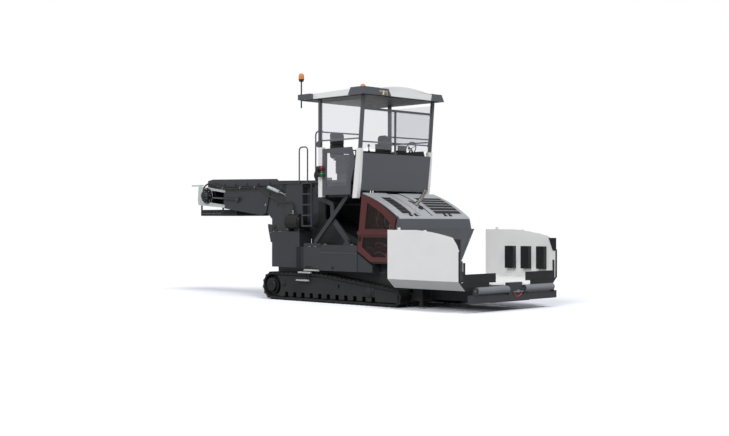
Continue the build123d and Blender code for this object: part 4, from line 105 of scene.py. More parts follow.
def between(tree, share, first, second):
    """A colour on the way from the first to the second."""
    return add_node(tree, "ShaderNodeMix", {0: share, 6: first, 7: second}, data_type="RGBA").outputs[2]


def new_material(name):
    """An empty material, its node tree and its output node."""
    material = bpy.data.materials.new(name)
    material.use_nodes = True
    material.node_tree.nodes.clear()
    output = add_node(material.node_tree, "ShaderNodeOutputMaterial")
    return material, material.node_tree, output


# The studio: a pale matt floor that runs out to white, and a white surround.
# A broad key lamp stands before the hopper, and a weaker one beside the camera.
FLOOR_RADIUS = 60
FLOOR_CORNERS = 96
FLOOR_FADE = (9, 26)
FLOOR_WHITE = "#f3f4fa"
FLOOR_BOUNCE = "#8f9093"
FLOOR_GAIN = 1.14
SKY_LIGHT = "#eff1f6"
SKY_STRENGTH = 0.42
angles = np.linspace(0, 2 * np.pi, FLOOR_CORNERS, endpoint=False)
floor_points = np.stack([FLOOR_RADIUS * np.cos(angles), FLOOR_RADIUS * np.sin(angles), 0 * angles], axis=1)
floor_mesh = bpy.data.meshes.new("floor")
floor_mesh.from_pydata(floor_points.tolist(), [], [list(range(len(angles)))])
floor = bpy.data.objects.new("floor", floor_mesh)
bpy.context.collection.objects.link(floor)
floor_material, tree, output = new_material("studio_floor")
place = add_node(tree, "ShaderNodeTexCoord").outputs["Object"]
distance = add_node(tree, "ShaderNodeVectorMath", {0: place}, operation="LENGTH").outputs["Value"]
fade = ranged(tree, distance, FLOOR_FADE, interpolation_type="SMOOTHSTEP")
floor_rays = add_node(tree, "ShaderNodeLightPath").outputs["Is Camera Ray"]
floor_seen = tuple(FLOOR_GAIN * channel for channel in linear(FLOOR_WHITE)[:3]) + (1.0,)
floor_colour = between(tree, floor_rays, linear(FLOOR_BOUNCE), floor_seen)
matt = add_node(tree, "ShaderNodeBsdfDiffuse", {"Color": floor_colour}).outputs["BSDF"]
glow = add_node(tree, "ShaderNodeEmission", {"Color": linear("#ffffff"), "Strength": 1.0}).outputs["Emission"]
blend = add_node(tree, "ShaderNodeMixShader", {"Fac": fade, 1: matt, 2: glow}).outputs["Shader"]
tree.links.new(blend, output.inputs["Surface"])
floor_mesh.materials.append(floor_material)

world = bpy.data.worlds.new("studio")
bpy.context.scene.world = world
world.use_nodes = True
world.node_tree.nodes.clear()
tree = world.node_tree
output = add_node(tree, "ShaderNodeOutputWorld")
rays = add_node(tree, "ShaderNodeLightPath")
seen = compute(tree, "MAXIMUM", rays.outputs["Is Camera Ray"], rays.outputs["Is Transmission Ray"])
sky = add_node(tree, "ShaderNodeBackground", {"Color": linear(SKY_LIGHT), "Strength": SKY_STRENGTH})
white = add_node(tree, "ShaderNodeBackground", {"Color": linear("#ffffff"), "Strength": 1.0})
surround = add_node(tree, "ShaderNodeMixShader", {
    "Fac": seen, 1: sky.outputs["Background"], 2: white.outputs["Background"],
})
tree.links.new(surround.outputs["Shader"], output.inputs["Surface"])

# Each lamp: name, direction it shines from, strength, softness in degrees
LAMPS = (
    ("key", (1.0, -0.25, 1.15), 1.75, 24),
    ("side", (0.25, -1.0, 0.65), 1.65, 36),
)
for lamp_name, shines_from, strength, softness in LAMPS:
    lamp_data = bpy.data.lights.new(lamp_name, "SUN")
    lamp_data.energy = strength
    lamp_data.angle = math.radians(softness)
    lamp = bpy.data.objects.new(lamp_name, lamp_data)
    lamp.rotation_euler = Vector(shines_from).to_track_quat("Z", "Y").to_euler()
    bpy.context.collection.objects.link(lamp)


# The finishes. Sheet and plate of the machine are sprayed with a two-part enamel:
# even colour, a soft gloss and a fine orange peel that breaks up the highlights.
# Grey site dust lies on what is low, fully at DUST_FULL_Z and not above DUST_TOP_Z.
MILLIMETRE = 0.001
TONE_EDGES = (0.32, 0.68)
GLOSS_EDGES = (0.3, 0.7)
DUST_TONE = "#8b857b"
DUST_TOP_Z, DUST_FULL_Z = 1.1, 0.1
COAT_ROUGHNESS = 0.12
GRAIN_STRENGTH = 0.6


def mottled(tree, tones, patch_mm, detail=6):
    """Colour that drifts between two tones in soft patches of a given size."""
    place = add_node(tree, "ShaderNodeTexCoord").outputs["Object"]
    moved = add_node(tree, "ShaderNodeMapping", {"Vector": place}).outputs["Vector"]
    noise = add_node(tree, "ShaderNodeTexNoise", {
        "Vector": moved, "Scale": 1 / (patch_mm * MILLIMETRE), "Detail": detail, "Roughness": 0.6,
    }).outputs["Fac"]
    ramp = add_node(tree, "ShaderNodeValToRGB", {"Fac": noise})
    for element, edge, tone in zip(ramp.color_ramp.elements, TONE_EDGES, tones):
        element.position = edge
        element.color = linear(tone)
    return moved, noise, ramp.outputs["Color"]


def finish(name, tones, patch_mm, rough, grain_mm, grain_depth_mm,
           metallic=0.0, coat=0.0, sheen=0.0, dust=0.0):
    """One surface: mottled colour, roughness that follows it, and a grain raised by bump."""
    material, tree, output = new_material(name)
    moved, noise, colour = mottled(tree, tones, patch_mm)
    if dust:
        height = add_node(tree, "ShaderNodeSeparateXYZ", {"Vector": moved}).outputs["Z"]
        low = ranged(tree, height, (DUST_TOP_Z, DUST_FULL_Z), (0.0, dust))
        colour = between(tree, compute(tree, "MULTIPLY", low, noise), colour, linear(DUST_TONE))
    gloss = ranged(tree, noise, GLOSS_EDGES, rough)
    grain = add_node(tree, "ShaderNodeTexNoise", {
        "Vector": moved, "Scale": 1 / (grain_mm * MILLIMETRE), "Detail": 3.0,
    }).outputs["Fac"]
    raised = add_node(tree, "ShaderNodeBump", {
        "Height": grain, "Strength": GRAIN_STRENGTH, "Distance": grain_depth_mm * MILLIMETRE,
    }).outputs["Normal"]
    shader = add_node(tree, "ShaderNodeBsdfPrincipled", {
        "Base Color": colour, "Roughness": gloss, "Normal": raised, "Metallic": metallic,
        "Coat Weight": coat, "Coat Roughness": COAT_ROUGHNESS, "Sheen Weight": sheen,
    }).outputs["BSDF"]
    tree.links.new(shader, output.inputs["Surface"])
    return material


slate = finish("slate_enamel", ("#303337", "#35383c"), 900, (0.38, 0.48), 9, 0.05, coat=0.12, dust=0.06)
panel_grey = finish("panel_enamel", ("#4b4e53", "#505358"), 900, (0.36, 0.46), 9, 0.05, coat=0.15)
dark_slate = finish("dark_enamel", ("#191b1d", "#1f2123"), 700, (0.45, 0.58), 9, 0.06, coat=0.08, dust=0.07)
silver = finish("silver_enamel", ("#a2a5a8", "#abaeb1"), 900, (0.3, 0.4), 8, 0.04, coat=0.3)
fork_grey = finish("fork_enamel", ("#b4bcb7", "#bfc6c1"), 500, (0.36, 0.46), 8, 0.05, coat=0.2)
roller_grey = finish("roller_enamel", ("#70757a", "#7c8186"), 300, (0.3, 0.4), 7, 0.05, coat=0.2)
white_enamel = finish("white_enamel", ("#e2e2e1", "#e9e9e8"), 1200, (0.3, 0.4), 9, 0.04, coat=0.35)
maroon = finish("maroon_enamel", ("#4b1715", "#531b18"), 700, (0.34, 0.44), 9, 0.05, coat=0.3)
black_enamel = finish("black_enamel", ("#17191b", "#1e2022"), 500, (0.42, 0.55), 8, 0.06, coat=0.1)


def paint_nodes(material, *names):
    """Gives a finish to nodes of the frame."""
    for name in names:
        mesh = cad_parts[name].data
        mesh.materials.clear()
        mesh.materials.append(material)


paint_nodes(slate, "conveyor_frame", "deck", "rear_boxes", "side_boxes", "ladders", "engine_bay",
            "boom_frame", "scissor_arms_a", "scissor_arms_b", "platform_floor", "push_beam", "hopper_floor")
paint_nodes(fork_grey, "boom_forks", "boom_barrels")
paint_nodes(roller_grey, "push_roller_right", "push_roller_left")
paint_nodes(panel_grey, "bulkhead", "side_panels", "front_panel", "roof_pods", "roof_posts", "deck_rails",
            "platform_rails")
paint_nodes(dark_slate, "chassis_frame", "track_frame_right", "track_frame_left", "wing_frame_right",
            "wing_frame_left", "boom_tray")
paint_nodes(silver, "hood_lid_right", "hood_lid_left")
paint_nodes(white_enamel, "wing_right", "wing_left", "corner_posts", "roof")
paint_nodes(maroon, "door_right", "door_left")
paint_nodes(black_enamel, "drive_drum", "engine_block")

# The tracks. Their shoes are cast and heat-treated steel, nearly black, and
# rubbed brighter where they run; the wheels inside them are the same dark steel.
track_steel = finish("track_casting", ("#141517", "#202123"), 160, (0.42, 0.68), 6, 0.5,
                     metallic=0.3, dust=0.1)
paint_nodes(track_steel, "track_right", "track_left", "track_wheels_right", "track_wheels_left")

# Black rubber of the belts and of the aprons across the wings: dull, with a fine
# leathery grain from the mould.
rubber = finish("moulded_rubber", ("#15171a", "#1d2023"), 240, (0.6, 0.75), 5, 0.3, dust=0.15)
paint_nodes(rubber, "belt_lower", "belt_upper", "apron_right", "apron_left")

# Bright metal: the exhaust is stainless tube that heat has tinted warm, and the
# cylinder rods are ground and chromed.
stainless = finish("stainless_tube", ("#b3ada1", "#c9c4b8"), 120, (0.2, 0.34), 14, 0.05, metallic=1.0)
chromed = finish("chromed_rod", ("#c9cbcd", "#d8dadc"), 300, (0.08, 0.16), 20, 0.01, metallic=1.0)
paint_nodes(stainless, "exhaust")
paint_nodes(chromed, "boom_rods")

# Plastic mouldings: the consoles, lamp bodies and beacon feet, in a grained black. The
# frame's seats and beacons take it too, under the scene's own pieces.
grained_plastic = finish("grained_plastic", ("#17181a", "#1f2022"), 200, (0.5, 0.62), 2, 0.12)
paint_nodes(grained_plastic, "consoles", "signal_lamps", "seat_right", "seat_left", "beacons")

# The panes are clear safety glass with a faint grey tint, which lets the pale
# surround through and keeps a soft sheen on its face.
PANE_TINT, PANE_SHEEN = "#fafafb", "#c9ccd4"
PANE_SHEEN_SHARE = (0.05, 0.45)
pane, tree, output = new_material("safety_glass")
clear = add_node(tree, "ShaderNodeBsdfTransparent", {"Color": linear(PANE_TINT)})
sheen = add_node(tree, "ShaderNodeBsdfPrincipled", {
    "Base Color": linear(PANE_SHEEN), "Roughness": 0.06, "Specular IOR Level": 0.6,
})
share = add_node(tree, "ShaderNodeLayerWeight", {"Blend": 0.25}).outputs["Facing"]
held = ranged(tree, share, (0.0, 1.0), PANE_SHEEN_SHARE)
mixed = add_node(tree, "ShaderNodeMixShader", {
    "Fac": held, 1: clear.outputs["BSDF"], 2: sheen.outputs["BSDF"],
})
tree.links.new(mixed.outputs["Shader"], output.inputs["Surface"])
paint_nodes(pane, "windows")

# The step bars are bright treads, and the straps that carry them are painted black, so
# one finish tells them apart by their heights.
TREAD_HEIGHTS = ((0.493, 0.532), (0.683, 0.722), (0.743, 0.782))
STRAP_TONE = "#1a1b1d"
step_finish, tree, output = new_material("step_finish")
place = add_node(tree, "ShaderNodeTexCoord").outputs["Object"]
height = add_node(tree, "ShaderNodeSeparateXYZ", {"Vector": place}).outputs["Z"]
is_tread = 0.0
for low_z, high_z in TREAD_HEIGHTS:
    above, below = compute(tree, "GREATER_THAN", height, low_z), compute(tree, "LESS_THAN", height, high_z)
    is_tread = compute(tree, "MAXIMUM", is_tread, compute(tree, "MULTIPLY", above, below))
bright = mottled(tree, ("#a9aba8", "#bfc1bd"), 120)[2]
tread_colour = between(tree, is_tread, linear(STRAP_TONE), bright)
tread_shader = add_node(tree, "ShaderNodeBsdfPrincipled", {
    "Base Color": tread_colour, "Roughness": 0.45,
}).outputs["BSDF"]
tree.links.new(tread_shader, output.inputs["Surface"])
paint_nodes(step_finish, "steps")

# The sheets behind the doors' windows are expanded metal: dark red strands in rows of
# diamonds, with the bay showing through between them.
MESH_PITCH = (62.0, 27.0)
MESH_STRAND_SHARE = 0.3
expanded_metal, tree, output = new_material("expanded_metal")
place = add_node(tree, "ShaderNodeTexCoord").outputs["Object"]
moved = add_node(tree, "ShaderNodeMapping", {
    "Vector": place, "Scale": (1 / (MESH_PITCH[0] * MILLIMETRE), 1.0, 1 / (MESH_PITCH[1] * MILLIMETRE)),
}).outputs["Vector"]
across = add_node(tree, "ShaderNodeSeparateXYZ", {"Vector": moved})
strands = []
for operation in ("ADD", "SUBTRACT"):
    slant = compute(tree, operation, across.outputs["X"], across.outputs["Z"])
    strands.append(compute(tree, "LESS_THAN", compute(tree, "FRACT", slant), MESH_STRAND_SHARE))
strand = compute(tree, "MAXIMUM", *strands)
tint = mottled(tree, ("#1d0f0e", "#33201d"), 90)[2]
strand_shader = add_node(tree, "ShaderNodeBsdfPrincipled", {
    "Base Color": tint, "Roughness": 0.5,
}).outputs["BSDF"]
opening = add_node(tree, "ShaderNodeBsdfTransparent", {"Color": linear("#ffffff")}).outputs["BSDF"]
woven = add_node(tree, "ShaderNodeMixShader", {"Fac": strand, 1: opening, 2: strand_shader})
tree.links.new(woven.outputs["Shader"], output.inputs["Surface"])
paint_nodes(expanded_metal, "door_mesh_right", "door_mesh_left")

# Finishes of the small fittings: black moulded plastic, coloured lamp lenses, bright
# zinc on the fasteners, the braided cover over the hoses, the tank's dark enamel, and
# the heat-browned pipes, pale hoses and dark screens that show through openings.
black_plastic = finish("black_plastic", ("#101112", "#17181a"), 160, (0.42, 0.55), 2, 0.1)
zinc = finish("zinc_plate", ("#9a9c9c", "#b4b5b3"), 60, (0.28, 0.42), 4, 0.03, metallic=1.0)
amber = finish("amber_lens", ("#b9651f", "#d08a3c"), 40, (0.12, 0.2), 5, 0.1, coat=0.6)
red_lens = finish("red_lens", ("#6d0d0f", "#8a1413"), 50, (0.15, 0.22), 5, 0.08, coat=0.5)
green_lens = finish("green_lens", ("#0a5a20", "#0f7a2c"), 50, (0.15, 0.22), 5, 0.08, coat=0.5)
lamp_glass = finish("lamp_glass", ("#7d5c33", "#a98452"), 40, (0.1, 0.2), 6, 0.2, coat=0.7)
hoop_red = finish("hoop_enamel", ("#b5322c", "#c23d35"), 80, (0.35, 0.45), 6, 0.08, coat=0.2)
hose_cover = finish("hose_cover", ("#25231f", "#37332c"), 60, (0.55, 0.7), 3, 0.4)
tank_brown = finish("tank_enamel", ("#171512", "#1e1b18"), 200, (0.4, 0.52), 7, 0.08, coat=0.1)
rust_pipe = finish("hot_pipe", ("#5c3327", "#7d4a38"), 70, (0.55, 0.75), 4, 0.2, metallic=0.3)
pale_hose = finish("pale_hose", ("#8d8881", "#a7a29a"), 80, (0.5, 0.65), 4, 0.15)
screen_glass = finish("screen_glass", ("#0b0d10", "#12161b"), 120, (0.06, 0.12), 30, 0.01, coat=0.5)


CREASE = 35


def outline_plate(points, low, high, edge, axis):
    """A plate over an outline, its edges eased. Ring k is the outline moved inwards by an
    offset d(k) along the mitre of its neighbouring edges, at height h(k):
    (d, h) = (edge, low), (0, low + edge), (0, high - edge), (edge, high)."""
    flat = np.array(points, float)
    if np.cross(flat - np.roll(flat, 1, 0), np.roll(flat, -1, 0) - flat).sum() < 0:
        flat = flat[::-1]
    ahead = np.roll(flat, -1, 0) - flat
    ahead /= np.linalg.norm(ahead, axis=1)[:, None]
    behind = np.roll(ahead, 1, 0)
    mitre = np.stack([-ahead[:, 1] - behind[:, 1], ahead[:, 0] + behind[:, 0]], axis=1)
    mitre /= (1 + (ahead * behind).sum(1))[:, None]
    rings = []
    for inset, height in ((edge, low), (0, low + edge), (0, high - edge), (edge, high)):
        ring = flat + mitre * inset
        lift = np.full(len(ring), float(height))
        order = {"x": (lift, ring[:, 0], ring[:, 1]), "y": (ring[:, 0], lift, ring[:, 1]),
                 "z": (ring[:, 0], ring[:, 1], lift)}[axis]
        rings.append(np.stack(order, axis=1))
    return ringed(rings)


def ringed(rings, closed=False):
    """Faces between following rings P(u, v), round in v. The ends get a fan each, or the
    last ring joins the first when the form closes on itself."""
    grid = np.asarray(rings, float)
    count, around = grid.shape[:2]
    points = grid.reshape(-1, 3)
    faces = []
    for u in range(count if closed else count - 1):
        here, there = u * around, ((u + 1) % count) * around
        for v in range(around):
            w = (v + 1) % around
            faces.append((here + v, here + w, there + w, there + v))
    if not closed:
        points = np.vstack([points, grid[0].mean(axis=0), grid[-1].mean(axis=0)])
        last = (count - 1) * around
        for v in range(around):
            w = (v + 1) % around
            faces.append((count * around, w, v))
            faces.append((count * around + 1, last + v, last + w))
    return points, faces


def turned(profile, place, direction, sides=32):
    """A turned form: P(u, v) = place + a(u) * axis + r(u) * (cos v * side + sin v * up),
    with (a, r) from the profile."""
    axis = np.array(direction, float) / np.linalg.norm(direction)
    helper = np.array((0.0, 0.0, 1.0)) if abs(axis[2]) < 0.9 else np.array((1.0, 0.0, 0.0))
    side = np.cross(axis, helper)
    side /= np.linalg.norm(side)
    up = np.cross(side, axis)
    angles = np.linspace(0, 2 * np.pi, sides, endpoint=False)
    rim = np.outer(np.cos(angles), side) + np.outer(np.sin(angles), up)
    return ringed([np.array(place, float) + a * axis + r * rim for a, r in profile])


def bolt(place, direction, size):
    """A hexagon bolt head on its washer: two turned forms, the head with six sides."""
    washer = turned([(-size / 5, size * 0.9), (size / 6, size * 0.9), (size / 5, size * 0.82)],
                    place, direction, 16)
    head = turned([(size / 6, size * 0.7), (size * 0.75, size * 0.7), (size * 0.9, size * 0.52)],
                  place, direction, 6)
    return [washer, head]


def smooth_line(points, steps=10):
    """Catmull-Rom line through points: for t from 0 to 1 between p1 and p2,
    (2 p1 + (p2 - p0) t + (2 p0 - 5 p1 + 4 p2 - p3) t^2 + (3 p1 - p0 - 3 p2 + p3) t^3) / 2."""
    spots = np.array(points, float)
    spots = np.vstack([2 * spots[0] - spots[1], spots, 2 * spots[-1] - spots[-2]])
    t = np.linspace(0, 1, steps, endpoint=False)[:, None]
    runs = []
    for p0, p1, p2, p3 in zip(spots, spots[1:], spots[2:], spots[3:]):
        runs.append((2 * p1 + (p2 - p0) * t + (2 * p0 - 5 * p1 + 4 * p2 - p3) * t ** 2
                     + (3 * p1 - p0 - 3 * p2 + p3) * t ** 3) / 2)
    return np.vstack(runs + [spots[-2:-1]])


def tube(line, radius, sides=14, closed=False):
    """A tube along a line: P(u, v) = c(u) + r * (cos v * n(u) + sin v * b(u)), where n is
    carried along the line without twist and b = t x n."""
    line = np.asarray(line, float)
    if closed:
        ahead = np.roll(line, -1, 0) - np.roll(line, 1, 0)
    else:
        ahead = np.gradient(line, axis=0)
    ahead /= np.linalg.norm(ahead, axis=1)[:, None]
    normal = np.cross(ahead[0], (0.0, 0.0, 1.0) if abs(ahead[0][2]) < 0.9 else (0.0, 1.0, 0.0))
    angles = np.linspace(0, 2 * np.pi, sides, endpoint=False)
    rings = []
    for centre, t in zip(line, ahead):
        normal = normal - t * (normal @ t)
        normal /= np.linalg.norm(normal)
        binormal = np.cross(t, normal)
        around = np.outer(np.cos(angles), normal) + np.outer(np.sin(angles), binormal)
        rings.append(centre + radius * around)
    return ringed(rings, closed)


def make_piece(name, shells, material, body="chassis"):
    """Joins closed shells, given in millimetres, into one piece, which rides on the body
    unless that is None. Edges sharper than CREASE degrees stay crisp."""
    points, faces, start = [], [], 0
    for shell_points, shell_faces in shells:
        points.append(shell_points * MILLIMETRE)
        faces += [tuple(start + corner for corner in face) for face in shell_faces]
        start += len(shell_points)
    mesh = bpy.data.meshes.new(name)
    mesh.from_pydata(np.vstack(points).tolist(), [], faces)
    form = bmesh.new()
    form.from_mesh(mesh)
    bmesh.ops.recalc_face_normals(form, faces=form.faces)
    form.to_mesh(mesh)
    form.free()
    mesh.polygons.foreach_set("use_smooth", [True] * len(mesh.polygons))
    mesh.set_sharp_from_angle(angle=math.radians(CREASE))
    mesh.materials.append(material)
    piece = bpy.data.objects.new(name, mesh)
    bpy.context.collection.objects.link(piece)
    if body:
        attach(piece, body)
    return piece

SIDES = {"right": -1, "left": 1}


def side_plate(points, side, near, far, edge):
    """A plate over an outline in side view, between two distances from the middle."""
    return outline_plate(points, *sorted((side * near, side * far)), edge, "y")


def both_plates(points, near, far, edge):
    """The same plate on both sides of the machine, the right one first."""
    return [side_plate(points, side, near, far, edge) for side in SIDES.values()]


def oblong(first_a, last_a, first_b, last_b):
    """The corners of an oblong in the plane of a and b, in order round it."""
    return [(first_a, first_b), (last_a, first_b), (last_a, last_b), (first_a, last_b)]


# The hood's skins. The strip between the lids, the rim before them and the nose below
# the fold are pressed sheet, in the same silver above and a mid grey below the fold.
HOOD_ARC = ((1815, 2584), (2400, 2350), (2945, 2015))
HOOD_HALF_WIDTH = 1219
STRIP_X = (1833, 2940)
STRIP_Y = (-449, -21)
STRIP_SINK = 14
SKIN = 3.0
FOLD = ((2945, 2015), (2978, 1905), (3010, 1752))
RIM_LINE = ((2897, 2047), (2915, 2036), (2932, 2024), FOLD[0], (2951, 1999), (2956, 1981))
NOSE_LINE = ((2956.5, 1979), FOLD[1], FOLD[2])


def hood_z(x):
    """Height of the circle through the three points of the hood's arc, above x."""
    (x1, z1), (x2, z2), (x3, z3) = HOOD_ARC
    rows = np.array([[x2 - x1, z2 - z1], [x3 - x1, z3 - z1]]) * 2
    centre = np.linalg.solve(rows, [x2 * x2 - x1 * x1 + z2 * z2 - z1 * z1,
                                    x3 * x3 - x1 * x1 + z3 * z3 - z1 * z1])
    radius = math.hypot(x1 - centre[0], z1 - centre[1])
    return centre[1] + math.copysign(math.sqrt(radius ** 2 - (x - centre[0]) ** 2), z1 - centre[1])


def bent_sheet(x_span, y_span, lift, steps=18):
    """A sheet bent to the hood: P(u, v) = (x(u), y(v), hood_z(x(u)) + lift(v))."""
    rings = []
    for x in np.linspace(x_span[0], x_span[1], steps):
        z = hood_z(x)
        rings.append([(x, y_span[0], z + lift[0]), (x, y_span[1], z + lift[0]),
                      (x, y_span[1], z + lift[1]), (x, y_span[0], z + lift[1])])
    return ringed(rings)


def nose_sheet(line, thickness):
    """A sheet across the machine over a line in side view, moved out by a thickness."""
    inner = np.array(line, float)
    along = np.gradient(inner, axis=0)
    along /= np.linalg.norm(along, axis=1)[:, None]
    outer = inner + thickness * np.stack([-along[:, 1], along[:, 0]], axis=1)
    loop = np.vstack([inner, outer[::-1]])
    rings = [np.stack([loop[:, 0], np.full(len(loop), y), loop[:, 1]], axis=1)
             for y in (-HOOD_HALF_WIDTH, HOOD_HALF_WIDTH)]
    return ringed(rings)


make_piece("hood_strip", [bent_sheet(STRIP_X, STRIP_Y, (-STRIP_SINK - SKIN, -STRIP_SINK), 24),
                          nose_sheet(RIM_LINE, SKIN)], silver)
make_piece("hood_nose", [nose_sheet(NOSE_LINE, SKIN)], panel_grey)

# Louvres in the lids: a black sheet across each bay, painted shade of the open slots,
# with a pressed rim round it, and thin steel bars across it, screwed down at both ends.
# The right lid's bars are painted grey.
# Each: hand, lower and higher y of the bay, finish of its bars
LOUVRES = (("right", -985, -665, panel_grey), ("left", 140, 1080, silver))
LOUVRE_X = (2130, 2835)
LOUVRE_BARS = 6
LOUVRE_RIM = 22
BAR_HALF_WIDTH = 5.0
OPENING_SHADE_LIFT, RIM_LIFT, BAR_LIFT = (0.5, 3.5), (0.5, 11), (2.0, 9.0)
for hand, low_y, high_y, bar_finish in LOUVRES:
    rear_x, front_x = LOUVRE_X
    # The black sheet stands in for the dark bay seen through the slots: painted shade.
    opening_shade = [bent_sheet(LOUVRE_X, (low_y, high_y), OPENING_SHADE_LIFT, 20)]
    rim = [bent_sheet((rear_x - LOUVRE_RIM, front_x + LOUVRE_RIM), y_span, RIM_LIFT, 20)
           for y_span in ((low_y - LOUVRE_RIM, low_y), (high_y, high_y + LOUVRE_RIM))]
    rim += [bent_sheet((end_x, end_x + LOUVRE_RIM), (low_y, high_y), RIM_LIFT, 3)
            for end_x in (rear_x - LOUVRE_RIM, front_x)]
    bars = []
    for number in range(1, LOUVRE_BARS):
        bar_x = rear_x + (front_x - rear_x) * number / LOUVRE_BARS
        x_span = (bar_x - BAR_HALF_WIDTH, bar_x + BAR_HALF_WIDTH)
        bars.append(bent_sheet(x_span, (low_y, high_y), BAR_LIFT, 3))
    lid = f"hood_lid_{hand}"
    make_piece(f"louvre_opening_shade_{hand}", opening_shade, black_plastic, lid)
    make_piece(f"louvre_rim_{hand}", rim, silver, lid)
    make_piece(f"louvre_bars_{hand}", bars, bar_finish, lid)

# Lid hinges: black cast pairs at the front edge of the lids. Their leaves are screwed
# to the lids, and the knuckles with the pin stand on the hood's rim.
LID_HINGE_X, LID_HINGE_Z = 2893, 2052
KNUCKLE = ((-46, 16), (-42, 20), (42, 20), (46, 16))
LEAF_X, LEAF_HALF_WIDTH, LEAF_LIFT = (2830, 2888), 38, (0.5, 12)
knuckles = []
for hand, middles in (("right", (-763, -578)), ("left", (426, 605))):
    leaves = []
    for middle_y in middles:
        knuckles.append(turned(KNUCKLE, (LID_HINGE_X, middle_y, LID_HINGE_Z), (0, 1, 0), 20))
        y_span = (middle_y - LEAF_HALF_WIDTH, middle_y + LEAF_HALF_WIDTH)
        leaves.append(bent_sheet(LEAF_X, y_span, LEAF_LIFT, 4))
    make_piece(f"hinge_leaves_{hand}", leaves, black_plastic, f"hood_lid_{hand}")
make_piece("lid_hinges", knuckles, black_plastic)

# Tail pipe: one stainless tube in a long swept bend, with a collar where it leaves the
# sunk strip, and a black disc over its closed mouth: soot, and painted shade of the bore.
# The filler cap beside it is moulded and screws on.
PIPE_Y = -150
PIPE_RADIUS = 42
PIPE_BEND = ((2178, 2390), (2320, 2350), (2450, 2330), (2560, 2372), (2650, 2462), (2728, 2560), (2800, 2665))
MOUTH_DIRECTION = (55, 0, 90)
COLLAR_X, COLLAR_DIRECTION = 2330, (0.45, 0, 1)
CAP_X, CAP_Y, CAP_DIRECTION = 2600, -120, (0.5, 0, 1)
pipe_line = [(x, PIPE_Y, z) for x, z in PIPE_BEND]
pipe_shell = tube(smooth_line(pipe_line, 8), PIPE_RADIUS, 32)
tail_pipe = make_piece("tail_pipe", [pipe_shell], stainless)
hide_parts("exhaust")
cap = turned([(-6, 62), (10, 62), (14, 56), (38, 54), (46, 44), (50, 20)],
             (CAP_X, CAP_Y, hood_z(CAP_X) - STRIP_SINK), CAP_DIRECTION, 40)
make_piece("filler_cap", [cap], black_plastic)
# The black disc closes the solid tube's end: soot, and painted shade of the hollow bore.
mouth = turned([(-2, 36), (1.5, 36)], pipe_line[-1], MOUTH_DIRECTION, 32)
make_piece("exhaust_mouth", [mouth], black_plastic)
collar = turned([(-5, 60), (4, 66), (12, 66), (20, 52)],
                (COLLAR_X, PIPE_Y, hood_z(COLLAR_X) - STRIP_SINK), COLLAR_DIRECTION, 40)
make_piece("exhaust_collar", [collar], stainless)

# Covers of the guide pads on the wings' inner faces: black moulded rubber with eased
# edges, pressed over the blocks.
PAD_SPANS = ((3728, 3968), (4188, 4408), (4628, 4838))
PAD_LOW, PAD_HIGH = 840, 1350
PAD_SKIN_Y, PAD_DEEP = 1690, 110
PAD_COVER = 4.0
for hand, side in SIDES.items():
    pads = []
    for rear_x, front_x in PAD_SPANS:
        square = oblong(rear_x - PAD_COVER, front_x + PAD_COVER, PAD_LOW - PAD_COVER, PAD_HIGH + PAD_COVER)
        pads.append(side_plate(square, side, PAD_SKIN_Y + PAD_COVER / 2, PAD_SKIN_Y - PAD_DEEP - PAD_COVER,
                               PAD_COVER))
    make_piece(f"wing_pads_{hand}", pads, black_plastic, f"wing_{hand}")

# Beacons: amber domes with upright ribs, on black feet. The rear one stands on a mast of
# steel tube, which a clip holds at the roof's corner.
# Each: x, y, z of the foot's underside
BEACONS = ((-247, -1250, 5300), (608, 0.0, 5085))
BEACON_FOOT = ((-2, 50), (8, 56), (34, 56), (38, 68), (50, 70), (52, 66))
BEACON_DOME = ((50, 60), (56, 66), (130, 64), (155, 60), (178, 50), (192, 34), (198, 14))
RIB_COUNT, RIB_SHARE = 24, 0.022
MAST_FOOT, MAST_LENGTH, MAST_RADIUS = (-247, -1250, 4660), 642, 17
lenses, feet = [], []
for x, y, z in BEACONS:
    feet.append(turned(BEACON_FOOT, (x, y, z), (0, 0, 1), 40))
    lens_points, lens_faces = turned(BEACON_DOME, (x, y, z), (0, 0, 1), 96)
    out = lens_points[:, :2] - np.array((x, y))
    turn = np.arctan2(out[:, 1], out[:, 0])
    lens_points[:, :2] = np.array((x, y)) + out * (1 + RIB_SHARE * np.cos(RIB_COUNT * turn))[:, None]
    lenses.append((lens_points, lens_faces))
feet.append(turned([(0, MAST_RADIUS), (MAST_LENGTH, MAST_RADIUS)], MAST_FOOT, (0, 0, 1), 24))
feet.append(outline_plate(oblong(-262, -203, -1266, -1234), 4846, 4884, 4, "z"))
beacon_feet = make_piece("beacon_feet", feet, black_plastic, "platform")
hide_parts("beacons")
make_piece("beacon_lenses", lenses, amber, "platform")

# Signal lamps on the rear corner post: a red and a green moulded lens, which snap on to
# the black bodies.
SIGNAL_X, SIGNAL_Y = 548, -1330
SIGNAL_LENS = ((0, 56.5), (26, 56.5), (38, 50), (46, 36), (50, 14))
for lens_name, lens_z, lens_finish in (("signal_red", 3180, red_lens),
                                       ("signal_green", 3030, green_lens)):
    lens = turned(SIGNAL_LENS, (SIGNAL_X, SIGNAL_Y, lens_z), (1, 0, 0), 40)
    make_piece(lens_name, [lens], lens_finish, "platform")

# Work lamps in the recess of the roof pod: domed glass in bright pressed bezels, which
# are screwed to the recess's floor.
LAMP_X, LAMP_Z = 1946, 4905
lamps, bezels = [], []
for lamp_y in (-770, -630):
    lamps.append(turned([(0, 44), (34, 44), (44, 34), (48, 12)], (LAMP_X, lamp_y, LAMP_Z), (1, 0, 0), 32))
    bezels.append(turned([(0, 50), (30, 50), (36, 47), (36, 42)], (LAMP_X, lamp_y, LAMP_Z), (1, 0, 0), 32))
make_piece("work_lamps", lamps, lamp_glass, "platform")
make_piece("work_lamp_bezels", bezels, zinc, "platform")

